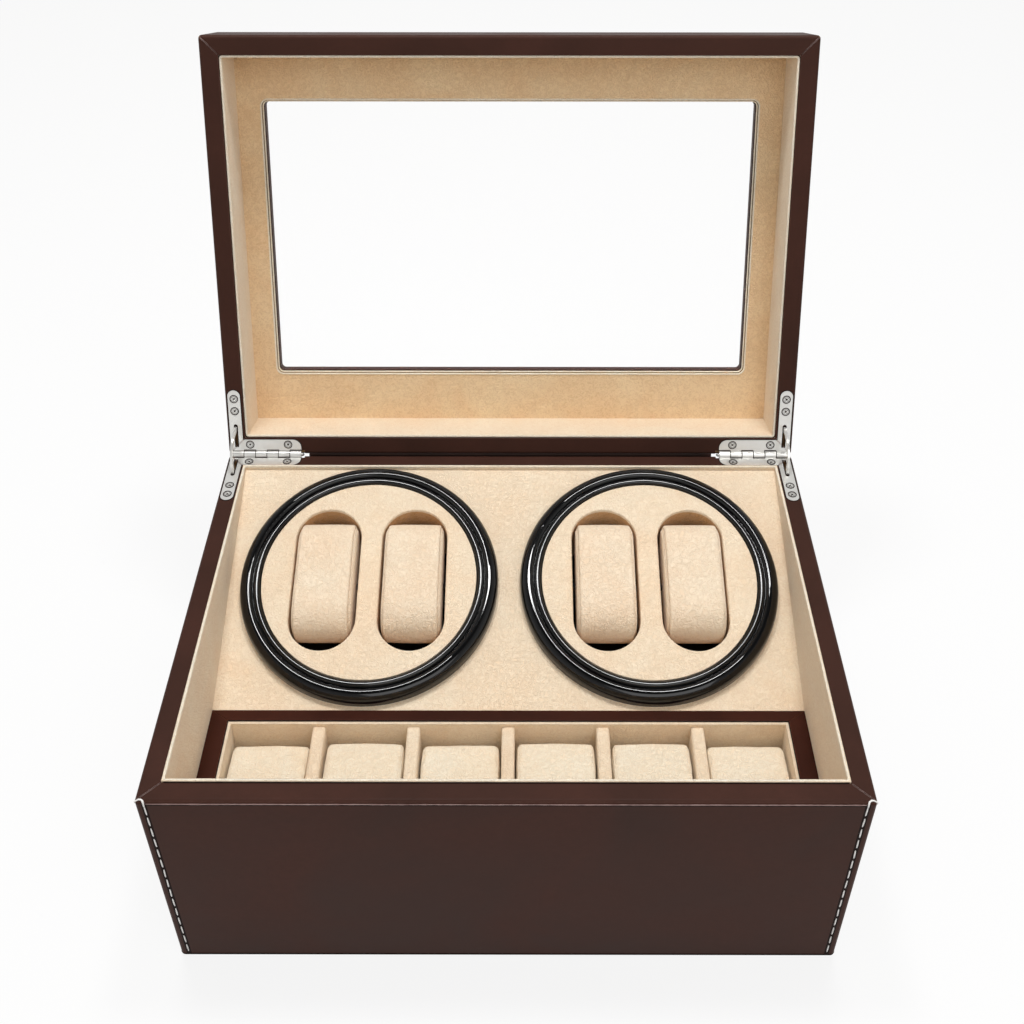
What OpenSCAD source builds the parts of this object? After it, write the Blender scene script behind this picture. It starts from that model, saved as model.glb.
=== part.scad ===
// Watch winder box: a leatherette-covered case with two sloped turntables, a storage tray
// with six watch pillows and a windowed lid on two quadrant hinges with curved stays.
// Origin: centre of the footprint at the table. +X right, +Y to the back, +Z up.

/* [Box] */
// Overall width of the box
box_w = 335; // [325:1:380]
// Overall depth of the box, front to back
box_d = 240; // [236:1:280]
// Height of the base from the table to its leather rim
base_h = 132; // [128:1:160]
// Height of the lid from its rim to its top
lid_h = 42; // [38:1:60]
// Gap between the two leather rims when the lid is shut
rim_gap = 0.6; // [0.4:0.1:1]
// Angle between the rims with the lid fully open
lid_open = 110; // [95:1:115]

/* [Walls] */
// Thickness of the MDF wall boards
board_t = 9; // [8:0.5:12]
// Thickness of the leatherette wrap
wrap_t = 0.7; // [0.5:0.1:0.9]
// Roll radius of the covered edges and corners
edge_r = 2; // [1.6:0.1:2.2]
// Depth that the wrap turns in below the rim
turn_in = 12; // [8:1:20]
// Width that the wrap turns under the base
turn_under = 15; // [12:1:25]
// Thickness of the velvet-covered lining card
lining_t = 1.4; // [1:0.1:3]
// Height that the base lining stands above the leather rim
lining_proud = 1; // [0.6:0.1:1.2]
// Depth that the lid lining stays below its leather rim
lining_shy = 0.8; // [0.6:0.1:2]
// Thickness of the floor board
floor_t = 5; // [4:0.5:8]
// Thickness of the felt pad under the base
felt_t = 0.8; // [0.5:0.1:2]
// Distance from the edge of the base to the felt pad
felt_inset = 4; // [2:0.5:10]
// Width of the leather mitre seams at the corners
seam_w = 0.3; // [0.2:0.05:0.5]
// Depth of the leather mitre seams
seam_d = 0.3; // [0.2:0.05:0.45]

/* [Window] */
// Distance from each side of the lid to the window
window_side = 27; // [25:1:45]
// Distance from the hinge line to the window
window_back = 42; // [30:1:50]
// Distance from the front of the lid to the window
window_front = 38; // [30:1:50]
// Corner radius of the window
window_r = 2.5; // [2:0.5:12]
// Thickness of the board that frames the window
top_t = 5; // [4:0.5:8]
// Thickness of the window pane
pane_t = 2; // [1.5:0.1:3]
// Width of pane held behind the frame on each side
pane_lap = 7; // [4:0.5:9]
// Thickness of the velvet-covered ceiling card below the pane
ceiling_t = 2.2; // [1.5:0.1:3]
// Step from the window's edge to the edge of the ceiling card
ceiling_step = 1.6; // [0.5:0.1:3]

/* [Deck] */
// Slope of the winder deck
deck_angle = 18; // [14:0.5:19]
// Thickness of the deck board
deck_t = 5; // [4:0.5:8]
// Depth of the deck's rear edge below the rim
deck_drop = 1.5; // [1:0.5:6]
// Gap between a bezel ring and the lining at the side
ring_side = 6.7; // [4:0.1:12]
// Gap between the two bezel rings
ring_between = 12; // [6:0.5:16]
// Least gap between a bezel ring and the ends of the deck
ring_end = 1.9; // [1:0.1:6]
// Width of the bezel ring's band
ring_band = 11.5; // [10.8:0.1:13]
// Gap between the bezel ring and the edge of its deck hole, under the band
ring_lap = 1.4; // [1:0.1:2.5]
// Height of the bezel's outer roll above the deck
ring_h = 8.4; // [7:0.1:14]
// Radius of the outer side of the bezel's outer roll
outer_roll_r = 5.1; // [3:0.1:5.5]
// Radius of the inner side of the bezel's outer roll
crest_r = 2.2; // [1.5:0.1:2.6]
// Radius of the bezel's inner roll
inner_roll_r = 1.9; // [1.5:0.1:2.2]
// Height of the bezel's inner roll above the deck
inner_roll_h = 8; // [6:0.1:11]
// Depth of the bezel's spigot into the deck hole
spigot_h = 4; // [2:0.5:5]

/* [Turntable] */
// Height of the velvet disc above the deck
disc_h = 6.6; // [2:0.1:7.5]
// Thickness of the velvet disc
disc_t = 2.2; // [1.5:0.1:3]
// Gap between the velvet disc and the bezel ring
disc_gap = 0.6; // [0.4:0.1:1]
// Thickness of the cup flange under the disc
flange_t = 2.4; // [2:0.1:4]
// Width of the web between the two cuff slots
slot_web = 11.4; // [8:0.2:16]
// Width of the velvet disc beside the slots
slot_side = 16.7; // [14:0.1:20]
// Least width of the velvet disc past the ends of the slots
slot_end = 6.5; // [4:0.1:9]
// Depth of each cuff cup below the flange's top
cup_deep = 36; // [34:0.5:40]
// Wall thickness of the cup moulding
cup_wall = 1.6; // [1.2:0.1:2]
// Radius of the hub below the cups
hub_r = 13; // [10:0.5:16]
// Height of the hub
hub_h = 4; // [3:0.5:6]
// Radius of the turntable axle
axle_r = 3; // [2:0.25:4]
// Length of the axle below the gear
axle_l = 14; // [12:0.5:18]

/* [Cuffs and pillows] */
// Gap between a cuff's side plates and the sides of its slot
cuff_gap = 2.25; // [1.8:0.05:3.5]
// Step from a cuff's band out to its side plates
cuff_reveal = 1.5; // [1:0.05:3]
// Thickness of a watch cuff from front to back
cuff_t = 32; // [28:0.5:36]
// Height of the cuff's face above the velvet disc
cuff_rise = 9; // [6:0.5:12]
// Distance from the slot's centre to the cuff's centre, towards the hinges
cuff_shift = 0.4; // [0:0.1:4]
// Step from the cuff's band in to the edge of its side plates
cuff_step = 3; // [1:0.1:4]
// Radius of the lug that carries the cuff
lug_r = 2; // [1.5:0.1:3]
// Length of the lug on each side of the cuff
lug_l = 1.5; // [1:0.1:1.7]
// Depth of the lugs below the velvet disc
lug_deep = 12; // [8:0.5:16]
// Gap between a storage pillow and each end of its bay
pillow_end = 4.7; // [3:0.1:8]
// Depth of the pillow's upper edge below the tray frame
pillow_drop = 8.5; // [6:0.5:14]
// Rise of the pillow's dome, front to back
pillow_dome = 4; // [2:0.5:6]
// Rise of the pillow's dome, side to side
pillow_side_dome = 1.2; // [0.8:0.1:4]
// Gap between a pillow and the bay beside it
pillow_gap = 0.4; // [0.3:0.1:1.5]

/* [Tray] */
// Front-to-back depth of the storage tray with its frame
tray_run = 76.5; // [74:0.5:80]
// Visible width of the tray's leather frame at the sides and the front
frame_w = 9.2; // [7:0.1:12]
// Visible width of the frame along the deck
frame_back_w = 6.4; // [5:0.1:12]
// Thickness of the tray frame
frame_t = 4; // [3:0.5:6]
// Number of pillow bays
bays = 6; // [5:1:7]
// Thickness of a divider
divider_t = 6.8; // [5:0.2:8]
// Radius of the long edges along a divider's top
divider_edge_r = 1.5; // [0.5:0.1:2.4]
// Depth of the divider tops below the frame
divider_drop = 3; // [1:0.5:5]
// Depth of the tray below its frame
tray_deep = 50; // [46:1:60]
// Wall thickness of the tray
tray_wall = 1.7; // [1.4:0.1:3]
// Thickness of the tray floor
tray_floor = 3; // [2:0.5:5]
// Depth of the tray's wall tops below the frame
tray_shy = 0.8; // [0.4:0.1:2]
// Width and height of the support battens
batten = 8; // [6:0.5:9]

/* [Hinges] */
// Length of the hinge's side arm from the pin
side_arm = 40; // [36:0.5:50]
// Length of the hinge's rear arm from the side of the box
rear_arm = 43.4; // [40:0.2:60]
// Width of the side arm
arm_w = 7.6; // [7:0.1:8]
// Distance from the side of the box to the side arm
arm_in = 1.4; // [1:0.1:1.8]
// Width of the rear arm
rear_w = 6.6; // [6:0.1:7]
// Corner radius at the end of the rear arm
arm_end_r = 5; // [3:0.1:6]
// Thickness of the leaf plates
leaf_t = 1.2; // [1:0.1:1.6]
// Radius of the knuckles
knuckle_r = 2.3; // [2:0.1:2.6]
// Number of knuckles on each hinge
knuckles = 6; // [4:1:7]
// Distance from the side of the box to the first knuckle
knuckle_in = 2.6; // [2.2:0.1:5]
// Radius of the hinge pin
pin_r = 1; // [0.8:0.05:1.2]
// Length of pin past the last knuckle
pin_tip = 1.6; // [1:0.1:3]
// Mean radius of the curved stay
stay_r = 16; // [13:0.25:17]
// Radial width of the stay
stay_w = 2.6; // [2:0.1:3]
// Thickness of the stay
stay_t = 1.4; // [1:0.1:1.6]
// Thickness of the stop lugs at the stay's ends
stop_t = 3; // [2.4:0.1:3.4]
// Radial step from the stay to its stop lugs
stop_step = 0.2; // [0.1:0.05:0.3]
// Angle of stay held behind each leaf when the lid is open
stay_hold = 11; // [10:0.5:14]
// Distance from the pin to the near end of the stay slot
slot_near = 4.6; // [4:0.1:8]
// Distance from the side arm's end to its last screw
side_screw_end = 5.5; // [4.5:0.1:7]
// Distance between the side arm's two screws
side_screw_pitch = 7.5; // [6:0.1:9]
// Distance from the side of the box to the first screw in the rear arm
rear_screw_in = 13; // [12:0.5:18]
// Distance from the rear arm's end to its last screw
rear_screw_end = 7.9; // [6:0.1:12]
// Head radius of the hinge screws
screw_head_r = 2.4; // [2:0.1:2.8]
// Shank radius of the hinge screws
screw_r = 1.25; // [1:0.05:1.4]
// Length of the hinge screws
screw_l = 9; // [7:0.5:14]

/* [Drive] */
// Module of the gear teeth
gear_module = 1.5; // [1.5:0.1:1.6]
// Teeth on the turntable gear
gear_teeth = 40; // [36:1:42]
// Teeth on the motor pinion
pinion_teeth = 12; // [12:1:15]
// Face width of the turntable gear
gear_w = 6; // [5:0.5:8]
// Height of the gear above the bracket plate
gear_lift = 1.5; // [1.3:0.1:3]
// Thickness of the bracket plate
plate_t = 4; // [3:0.5:6]
// Radius of the bracket's posts
post_r = 4; // [3:0.5:4.5]
// Outer radius of the axle bush
bush_r = 5; // [4.8:0.25:6]
// Radius of the gearmotor's gearbox
gearbox_r = 16; // [13:0.5:18]
// Length of the gearmotor's gearbox
gearbox_l = 14; // [12:0.5:16]
// Radius of the motor can
motor_r = 10; // [8:0.5:12]
// Length of the motor can
motor_l = 13; // [10:0.5:14]
// Radius of the motor's output shaft
shaft_r = 2.5; // [2:0.25:3]

/* [Rear panel] */
// Height of the power inlet and mode switch above the table
panel_z = 34; // [28:1:40]
// Distance from the box's centre to the power inlet
jack_x = 30; // [20:1:60]
// Radius of the inlet's bore
jack_bore_r = 2.85; // [2.5:0.05:3.1]
// Radius of the inlet's contact pin
jack_pin_r = 1; // [0.8:0.05:1.3]
// Distance from the box's centre to the mode switch
switch_x = -30; // [-60:1:-20]
// Travel of the mode switch to each side
switch_travel = 3; // [2:0.5:4]
// Width of the mode switch knob
knob_w = 5; // [4:0.5:6]
// Height of the mode switch knob
knob_h = 4; // [3:0.5:5]
// Width of the control board
board_w = 64; // [50:1:80]
// Depth of the control board
board_d = 40; // [34:1:50]
// Height of the control board above the floor
board_lift = 6; // [4:0.5:10]
// Distance from the rear wall to the control board
board_gap = 22; // [15:1:30]

/* [Clearances] */
// Clearance round pieces set into their pockets
pocket_gap = 0.15; // [0.1:0.05:0.3]
// Clearance between pieces that slide or swing past each other
moving_gap = 0.35; // [0.3:0.05:0.5]
// Radial clearance of a running shaft
run_gap = 0.05; // [0.02:0.01:0.08]
// Radial clearance of a piece fixed in its hole
fix_gap = 0.02; // [0.01:0.01:0.05]
// Extra distance between the gear centres
gear_play = 0.15; // [0.1:0.05:0.2]

/* [Hidden] */
$fn = 64;
eps = 0.01;
left = -1;
right = 1;

// Colours
leather = [0.24, 0.17, 0.15];
leather_red = [0.27, 0.14, 0.10];
velvet = [0.93, 0.84, 0.71];
mdf = [0.62, 0.48, 0.34];
gloss_black = [0.04, 0.04, 0.04];
steel = [0.80, 0.80, 0.79];
plastic_grey = [0.35, 0.36, 0.38];
plastic_white = [0.88, 0.88, 0.85];
brass = [0.76, 0.62, 0.32];
felt_black = [0.08, 0.08, 0.08];
board_green = [0.10, 0.34, 0.20];
clear_pane = [0.85, 0.92, 0.95, 0.35];

// Walls: rim_w is leather to leather, board_in is the inner face of the boards
rim_w = board_t + 2 * wrap_t;
board_in = wrap_t + board_t;
in_w = box_w - 2 * (rim_w + lining_t);
in_d = box_d - 2 * (rim_w + lining_t);
back_y = in_d / 2;
front_y = -in_d / 2;
board_z = felt_t + wrap_t;
floor_top = board_z + floor_t;
lid_z = base_h + rim_gap;
lid_top = lid_z + lid_h;
ceiling_z = lid_top - wrap_t - top_t - pane_t - ceiling_t;
hinge_z = base_h + rim_gap / 2;
window_w = box_w - 2 * window_side;
window_d = box_d - window_back - window_front;
window_y = (window_front - window_back) / 2;

// Deck and tray
deck_run = in_d - tray_run;
deck_front_y = back_y - deck_run;
deck_back_z = base_h - deck_drop;
tray_z = deck_back_z - deck_run * tan(deck_angle);
deck_len = deck_run / cos(deck_angle);
deck_upright_t = deck_t / cos(deck_angle);
ring_r = min((in_w - 2 * ring_side - ring_between) / 4, deck_len / 2 - ring_end);
ring_in_r = ring_r - ring_band;
deck_hole_r = ring_in_r + ring_lap;
turntable_pitch = (in_w - 2 * ring_side + ring_between) / 2;
tray_in_w = in_w - 2 * frame_w;
tray_in_d = tray_run - frame_w - frame_back_w;
tray_mid_y = front_y + frame_w + tray_in_d / 2;
bay_w = (tray_in_w - 2 * pocket_gap - 2 * tray_wall - (bays - 1) * divider_t) / bays;
bay_d = tray_in_d - 2 * pocket_gap - 2 * tray_wall;
pillow_l = bay_d - 2 * pillow_end;
pillow_r = 4;
bay_floor_z = tray_z - tray_deep;

// Turntable levels, measured along the deck's normal from the deck's face
flange_top = disc_h - disc_t;
cup_floor = flange_top - cup_deep;
cup_base = cup_floor - cup_wall;
gear_top = cup_base - hub_h;
gear_base = gear_top - gear_w;
plate_top = gear_base - gear_lift;
plate_base = plate_top - plate_t;
lug_level = disc_h - lug_deep;

// Slots in the velvet disc, and the cuffs that pass through them
disc_r = ring_in_r - disc_gap;
slot_w = disc_r - slot_web / 2 - slot_side;
slot_pitch = slot_w + slot_web;
slot_straight = sqrt(pow(disc_r - slot_end - slot_w / 2, 2) - pow(slot_pitch / 2, 2));
slot_l = 2 * slot_straight + slot_w;
cuff_w = slot_w - 2 * cuff_gap;
cuff_band_w = cuff_w - 2 * cuff_reveal;
cuff_l = 2 * (slot_reach(cuff_band_w) - cuff_shift);
plate_l = min(2 * (slot_reach(cuff_w) - cuff_shift), cuff_l - 2 * cuff_step);
rib_out = cuff_gap - moving_gap;
rib_l = 12;

// How far from its centre a slot still clears a piece of a given width
function slot_reach(w) = slot_straight + sqrt(pow(slot_w / 2 - moving_gap, 2) - pow(w / 2, 2));

// Gear drive
gear_pitch_r = gear_module * gear_teeth / 2;
pinion_pitch_r = gear_module * pinion_teeth / 2;
gear_centres = gear_pitch_r + pinion_pitch_r + gear_play;
pressure_angle = 20;
gear_add = 0.75 * gear_module;
pinion_add = gear_module;
gear_ded = 1.25 * gear_module;
tooth_thin = 0.05;
post_x = ring_in_r + post_r + 3;
post_y = gear_pitch_r;
bracket_edge = 4;
bush_boss = 3;
shaft_bore = 8;
pinion_reach = 6;
pinion_inset = 0.5;
terminal_w = 3;
terminal_t = 0.8;
terminal_l = 4;
clip_groove_w = 0.8;
clip_groove_d = 0.6;

// Control board
board_thick = 1.6;
standoff_r = 2.5;
standoff_in = 4;
chip_w = 14;
chip_d = 9;
chip_t = 2;
capacitor_r = 4;
capacitor_h = 11;
plug_w = 10;
plug_d = 6;
plug_h = 7;

// Rear panel
jack_r = jack_bore_r + 1.2;
jack_flange = 1.8;
jack_flange_t = 1.6;
jack_nut = 2.4;
jack_nut_t = 2.2;
jack_thread = 9;
jack_bore_l = 10;
switch_w = 2 * (switch_travel + knob_w / 2 + 2);
switch_h = knob_h + 4;
switch_flange = 2;
switch_flange_t = 1;
switch_behind = 5;
knob_deep = 3;
knob_out = 2.6;

// Hinges
slot_mid = arm_in + arm_w / 2;
slot_spare = 1.4;
plate_v = knuckle_r + 0.5;
leaf_face = -rim_gap / 2;
knuckle_l = (rear_arm - knuckle_in) / knuckles;
slot_far = stay_r + stay_w / 2 + slot_spare;
slot_half = stay_t / 2 + moving_gap;
slot_recess = 3;
channel_half = stop_t / 2 + moving_gap;
lug_half = stay_w / 2 + stop_step;
stay_free = asin((leaf_t + rim_gap / 2 + moving_gap) / (stay_r - lug_half));
channel_spare = 3;
channel_angle = lid_open / 2 + stay_hold + channel_spare;
cross_l = 0.58 * 2 * screw_head_r;
cross_w = 0.6;
cross_d = 0.6;

// ---------- Helpers ----------

// A block with rolled vertical edges and a rolled top edge, and a rolled lower one too
module rolled_block(w, d, h, r, both = false) {
  low = both ? r : 0;
  translate([r - w / 2, r - d / 2, 0]) cube([w - 2 * r, d - 2 * r, h]);
  translate([-w / 2, r - d / 2, low]) cube([w, d - 2 * r, h - r - low]);
  translate([r - w / 2, -d / 2, low]) cube([w - 2 * r, d, h - r - low]);
  for (x = [r - w / 2, w / 2 - r], y = [r - d / 2, d / 2 - r])
    translate([x, y, low]) cylinder(r = r, h = h - r - low);
  for (z = both ? [low, h - r] : [h - r]) {
    for (x = [r - w / 2, w / 2 - r])
      translate([x, r - d / 2, z]) rotate([-90, 0, 0]) cylinder(r = r, h = d - 2 * r);
    for (y = [r - d / 2, d / 2 - r])
      translate([r - w / 2, y, z]) rotate([0, 90, 0]) cylinder(r = r, h = w - 2 * r);
    for (x = [r - w / 2, w / 2 - r], y = [r - d / 2, d / 2 - r])
      translate([x, y, z]) sphere(r = r);
  }
}

// A box centred on X and Y, between two heights
module slab(w, d, z_low, z_high) {
  translate([-w / 2, -d / 2, z_low]) cube([w, d, z_high - z_low]);
}

// A rectangle with round corners, centred
module round_rect(w, d, r) {
  square([w - 2 * r, d], center = true);
  square([w, d - 2 * r], center = true);
  for (x = [r - w / 2, w / 2 - r], y = [r - d / 2, d / 2 - r])
    translate([x, y]) circle(r = r);
}

// An oblong with full round ends, its length along Y
module pill(w, l) {
  square([w, l - w], center = true);
  for (y = [-1, 1])
    translate([0, y * (l - w) / 2]) circle(r = w / 2);
}

// An oblong with full round ends, its length along X
module oblong(l, h) {
  square([l - h, h], center = true);
  for (x = [-1, 1])
    translate([x * (l - h) / 2, 0]) circle(r = h / 2);
}

// Extrudes an outline drawn in Y and Z along X
module along_x(l) {
  rotate([90, 0, 90]) linear_extrude(l, center = true) children();
}

// Places children on the deck: X right, Y up the slope, Z along the deck's normal
module on_deck() {
  translate([0, back_y, deck_back_z]) rotate([deck_angle, 0, 0]) children();
}

// Places children at a turntable's centre on the deck
module at_turntable(side) {
  on_deck() translate([side * turntable_pitch / 2, -deck_len / 2, 0]) children();
}

// Places children at a motor's shaft
module at_motor(side) {
  at_turntable(side) translate([0, -gear_centres, 0]) children();
}

// Hinge frame: X inwards from the box's side, Y forwards from the pin, Z up from the pin
module at_hinge(side) {
  translate([side * box_w / 2, box_d / 2, hinge_z])
    mirror([side < 0 ? 1 : 0, 0, 0]) rotate([0, 0, 180]) children();
}

// Swings what is drawn for a shut lid to the open rest position
module opened() {
  translate([0, box_d / 2, hinge_z]) rotate([-lid_open, 0, 0])
    translate([0, -box_d / 2, -hinge_z]) children();
}

// Hinge frame of the lid, turned over, with the lid still shut
module at_lid_hinge(side) {
  at_hinge(side) mirror([0, 0, 1]) children();
}

// ---------- Hinge shapes ----------

// Outline of a leaf, grown by a clearance
module leaf_outline(grow = 0) {
  corner = arm_end_r + grow;
  translate([arm_in - grow, plate_v - grow])
    square([arm_w + 2 * grow, side_arm - arm_w / 2 - plate_v + grow]);
  translate([slot_mid, side_arm - arm_w / 2]) circle(r = arm_w / 2 + grow);
  difference() {
    translate([arm_in - grow, plate_v - grow])
      square([rear_arm - arm_in + 2 * grow, rear_w + 2 * grow]);
    translate([rear_arm - arm_end_r, plate_v + rear_w - arm_end_r]) difference() {
      square(corner + 1);
      circle(r = corner);
    }
  }
}

// Ring sector round the pin, from one angle to another below the rim, centred on the slot
module stay_sector(half_t, r_in, r_out, a_from, a_to) {
  translate([slot_mid, 0, 0]) rotate([0, 90, 0]) rotate([0, 0, 90 - a_to])
    rotate_extrude(angle = a_to - a_from)
      translate([r_in, -half_t]) square([r_out - r_in, 2 * half_t]);
}

// Positions of a leaf's screws
module at_screws() {
  for (back = [0, side_screw_pitch])
    translate([slot_mid, side_arm - side_screw_end - back, leaf_face]) children();
  for (u = [rear_screw_in, rear_arm - rear_screw_end])
    translate([u, plate_v + rear_w / 2, leaf_face]) children();
}

// What a hinge takes out of the boards and the wrap on one side
module hinge_pocket() {
  translate([0, 0, leaf_face - leaf_t]) linear_extrude(leaf_t + rim_gap) {
    leaf_outline(pocket_gap);
    translate([arm_in - pocket_gap, 0]) square([rear_arm - arm_in + 2 * pocket_gap, plate_v + 1]);
  }
  translate([knuckle_in - moving_gap, 0, 0]) rotate([0, 90, 0])
    cylinder(r = knuckle_r + moving_gap, h = rear_arm - knuckle_in + pin_tip + 2 * moving_gap);
  stay_sector(channel_half, stay_r - lug_half - moving_gap, stay_r + lug_half + moving_gap,
    0, channel_angle);
  translate([slot_mid - slot_half, slot_near, leaf_face - leaf_t - slot_recess])
    cube([2 * slot_half, slot_far - slot_near, slot_recess + leaf_t]);
  at_screws() translate([0, 0, -leaf_t - screw_l])
    cylinder(r = screw_r + fix_gap, h = screw_l + eps);
}

// One hinge leaf: plate, slot, countersinks and every second knuckle
module hinge_leaf(first) {
  difference() {
    union() {
      translate([0, 0, leaf_face - leaf_t]) linear_extrude(leaf_t) leaf_outline();
      for (k = [first:2:knuckles - 1])
        translate([knuckle_in + k * knuckle_l + moving_gap / 2, 0, 0]) {
          rotate([0, 90, 0]) cylinder(r = knuckle_r, h = knuckle_l - moving_gap);
          translate([0, 0, leaf_face - leaf_t])
            cube([knuckle_l - moving_gap, plate_v + 1, leaf_t]);
        }
    }
    translate([-1, 0, 0]) rotate([0, 90, 0]) cylinder(r = pin_r + run_gap, h = rear_arm + 2);
    translate([slot_mid, 0, leaf_face - leaf_t - 1]) linear_extrude(leaf_t + 2) {
      translate([-slot_half, slot_near]) square([2 * slot_half, slot_far - slot_half - slot_near]);
      translate([0, slot_far - slot_half]) circle(r = slot_half);
    }
    at_screws() translate([0, 0, -leaf_t - eps])
      cylinder(r1 = screw_r + fix_gap, r2 = screw_head_r + fix_gap, h = leaf_t + 2 * eps);
  }
}

// A countersunk cross-head screw, its head flush with the leaf
module hinge_screw() {
  difference() {
    union() {
      translate([0, 0, -leaf_t]) cylinder(r1 = screw_r, r2 = screw_head_r, h = leaf_t);
      translate([0, 0, 1 - leaf_t - screw_l]) cylinder(r = screw_r, h = screw_l - 1);
    }
    for (a = [0, 90])
      rotate([0, 0, 45 + a]) translate([-cross_l / 2, -cross_w / 2, -cross_d])
        cube([cross_l, cross_w, cross_d + 1]);
  }
}

// A curved stay with its two stop lugs, in the open position
module stay() {
  r_in = stay_r - stay_w / 2;
  r_out = stay_r + stay_w / 2;
  stay_sector(stay_t / 2, r_in, r_out, -lid_open - stay_hold, stay_hold);
  for (a = [stay_free, -lid_open - stay_hold])
    stay_sector(stop_t / 2, stay_r - lug_half, stay_r + lug_half, a, a + stay_hold - stay_free);
}

// ---------- Base ----------

module floor_board() {
  inner_w = box_w - 2 * board_in;
  inner_d = box_d - 2 * board_in;
  color(mdf) {
    slab(inner_w, inner_d, board_z, floor_top);
    slab(box_w - 2 * (turn_under + wrap_t), box_d - 2 * (turn_under + wrap_t), felt_t, floor_top);
  }
}

// Left edge of a side board
function side_board_x(side) = side * (box_w / 2 - wrap_t - board_t / 2) - board_t / 2;

module side_board(side) {
  color(mdf) difference() {
    translate([side_board_x(side), wrap_t - box_d / 2, board_z])
      cube([board_t, box_d - 2 * wrap_t, base_h - wrap_t - board_z]);
    at_hinge(side) hinge_pocket();
  }
}

module front_board() {
  color(mdf) translate([board_in - box_w / 2, wrap_t - box_d / 2, board_z])
    cube([box_w - 2 * board_in, board_t, base_h - wrap_t - board_z]);
}

module rear_board() {
  color(mdf) difference() {
    translate([board_in - box_w / 2, box_d / 2 - board_in, board_z])
      cube([box_w - 2 * board_in, board_t, base_h - wrap_t - board_z]);
    for (side = [left, right]) at_hinge(side) hinge_pocket();
    rear_holes();
  }
}

// Holes for the power inlet and the mode switch through the rear wall
module rear_holes() {
  w = switch_w + 2 * pocket_gap;
  h = switch_h + 2 * pocket_gap;
  depth = rim_w + 2;
  translate([0, box_d / 2 + 1, panel_z]) rotate([90, 0, 0]) {
    translate([jack_x, 0, 0]) cylinder(r = jack_r + fix_gap, h = depth);
    translate([switch_x - w / 2, -h / 2, 0]) cube([w, h, depth]);
  }
}

// Cuts along the mitres of the rim's four corners
module mitre_seams(z_top) {
  for (x = [-1, 1], y = [-1, 1])
    translate([x * box_w / 2, y * box_d / 2, z_top - seam_d]) rotate([0, 0, atan2(-y, -x)])
      translate([-1, -seam_w / 2, 0]) cube([rim_w * sqrt(2) + 2, seam_w, 1]);
}

module base_wrap() {
  color(leather) difference() {
    union() {
      difference() {
        translate([0, 0, felt_t]) rolled_block(box_w, box_d, base_h - felt_t, edge_r);
        slab(box_w - 2 * wrap_t, box_d - 2 * wrap_t, board_z, base_h - wrap_t);
      }
      slab(box_w - 2 * board_in, box_d - 2 * board_in, base_h - turn_in, base_h - wrap_t / 2);
    }
    slab(box_w - 2 * rim_w, box_d - 2 * rim_w, board_z, base_h + 1);
    slab(box_w - 2 * (turn_under + wrap_t), box_d - 2 * (turn_under + wrap_t), 0, board_z + 1);
    for (side = [left, right]) at_hinge(side) hinge_pocket();
    mitre_seams(base_h);
    rear_holes();
  }
}

module bottom_felt() {
  color(felt_black) linear_extrude(felt_t)
    round_rect(box_w - 2 * felt_inset, box_d - 2 * felt_inset, felt_inset);
}

// Room for the wrap where it is turned in on the boards below the rim
module turned_in(z_low) {
  difference() {
    slab(box_w, box_d, z_low, base_h + lining_proud + 1);
    slab(box_w - 2 * rim_w, box_d - 2 * rim_w, z_low - 1, base_h + lining_proud + 2);
  }
}

// Cross-section of the space above the deck and the tray, up to a height
module well_outline(z_high) {
  polygon([
    [front_y, tray_z], [deck_front_y, tray_z], [back_y, deck_back_z],
    [back_y, z_high], [front_y, z_high]
  ]);
}

module base_lining() {
  out = lining_t + wrap_t;
  top = base_h + lining_proud;
  color(velvet) difference() {
    union() {
      for (side = [left, right])
        translate([side * (in_w + out) / 2, 0, 0]) along_x(out) well_outline(top);
      translate([-in_w / 2 - out, front_y - out, tray_z]) cube([in_w + 2 * out, out, top - tray_z]);
      translate([-in_w / 2 - out, back_y, base_h - turn_in - 2])
        cube([in_w + 2 * out, out, turn_in + 2 + lining_proud]);
    }
    turned_in(base_h - turn_in);
  }
}

module winder_deck() {
  color(velvet) difference() {
    along_x(box_w - 2 * board_in) polygon([
      [deck_front_y, tray_z], [back_y, deck_back_z],
      [back_y, deck_back_z - deck_upright_t], [deck_front_y, tray_z - deck_upright_t]
    ]);
    for (side = [left, right])
      at_turntable(side) translate([0, 0, -deck_t - 1]) cylinder(r = deck_hole_r, h = deck_t + 2);
    turned_in(base_h - turn_in - moving_gap);
  }
}

// Battens glued to the walls, which carry the deck and the tray frame
module support_battens() {
  wall_x = box_w / 2 - board_in;
  side_front = board_in - box_d / 2 + batten;
  under = tray_z - frame_t;
  deck_under = tray_z - deck_upright_t;
  rear_y = back_y - batten;
  rear_z = deck_back_z - deck_upright_t - batten * tan(deck_angle);
  color(mdf) difference() {
    union() {
      for (side = [left, right])
        translate([side * (wall_x - batten / 2), 0, 0]) along_x(batten) polygon([
          [side_front, under], [deck_front_y, under], [deck_front_y, deck_under], [rear_y, rear_z],
          [rear_y, rear_z - batten], [deck_front_y, deck_under - batten],
          [side_front, under - batten]
        ]);
      translate([-wall_x, side_front - batten, under - batten]) cube([2 * wall_x, batten, batten]);
      along_x(2 * wall_x) polygon([
        [rear_y, rear_z], [back_y, rear_z + batten * tan(deck_angle)],
        [back_y, rear_z - 2 * batten], [rear_y, rear_z - 2 * batten]
      ]);
    }
    turned_in(base_h - turn_in - moving_gap);
  }
}

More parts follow.
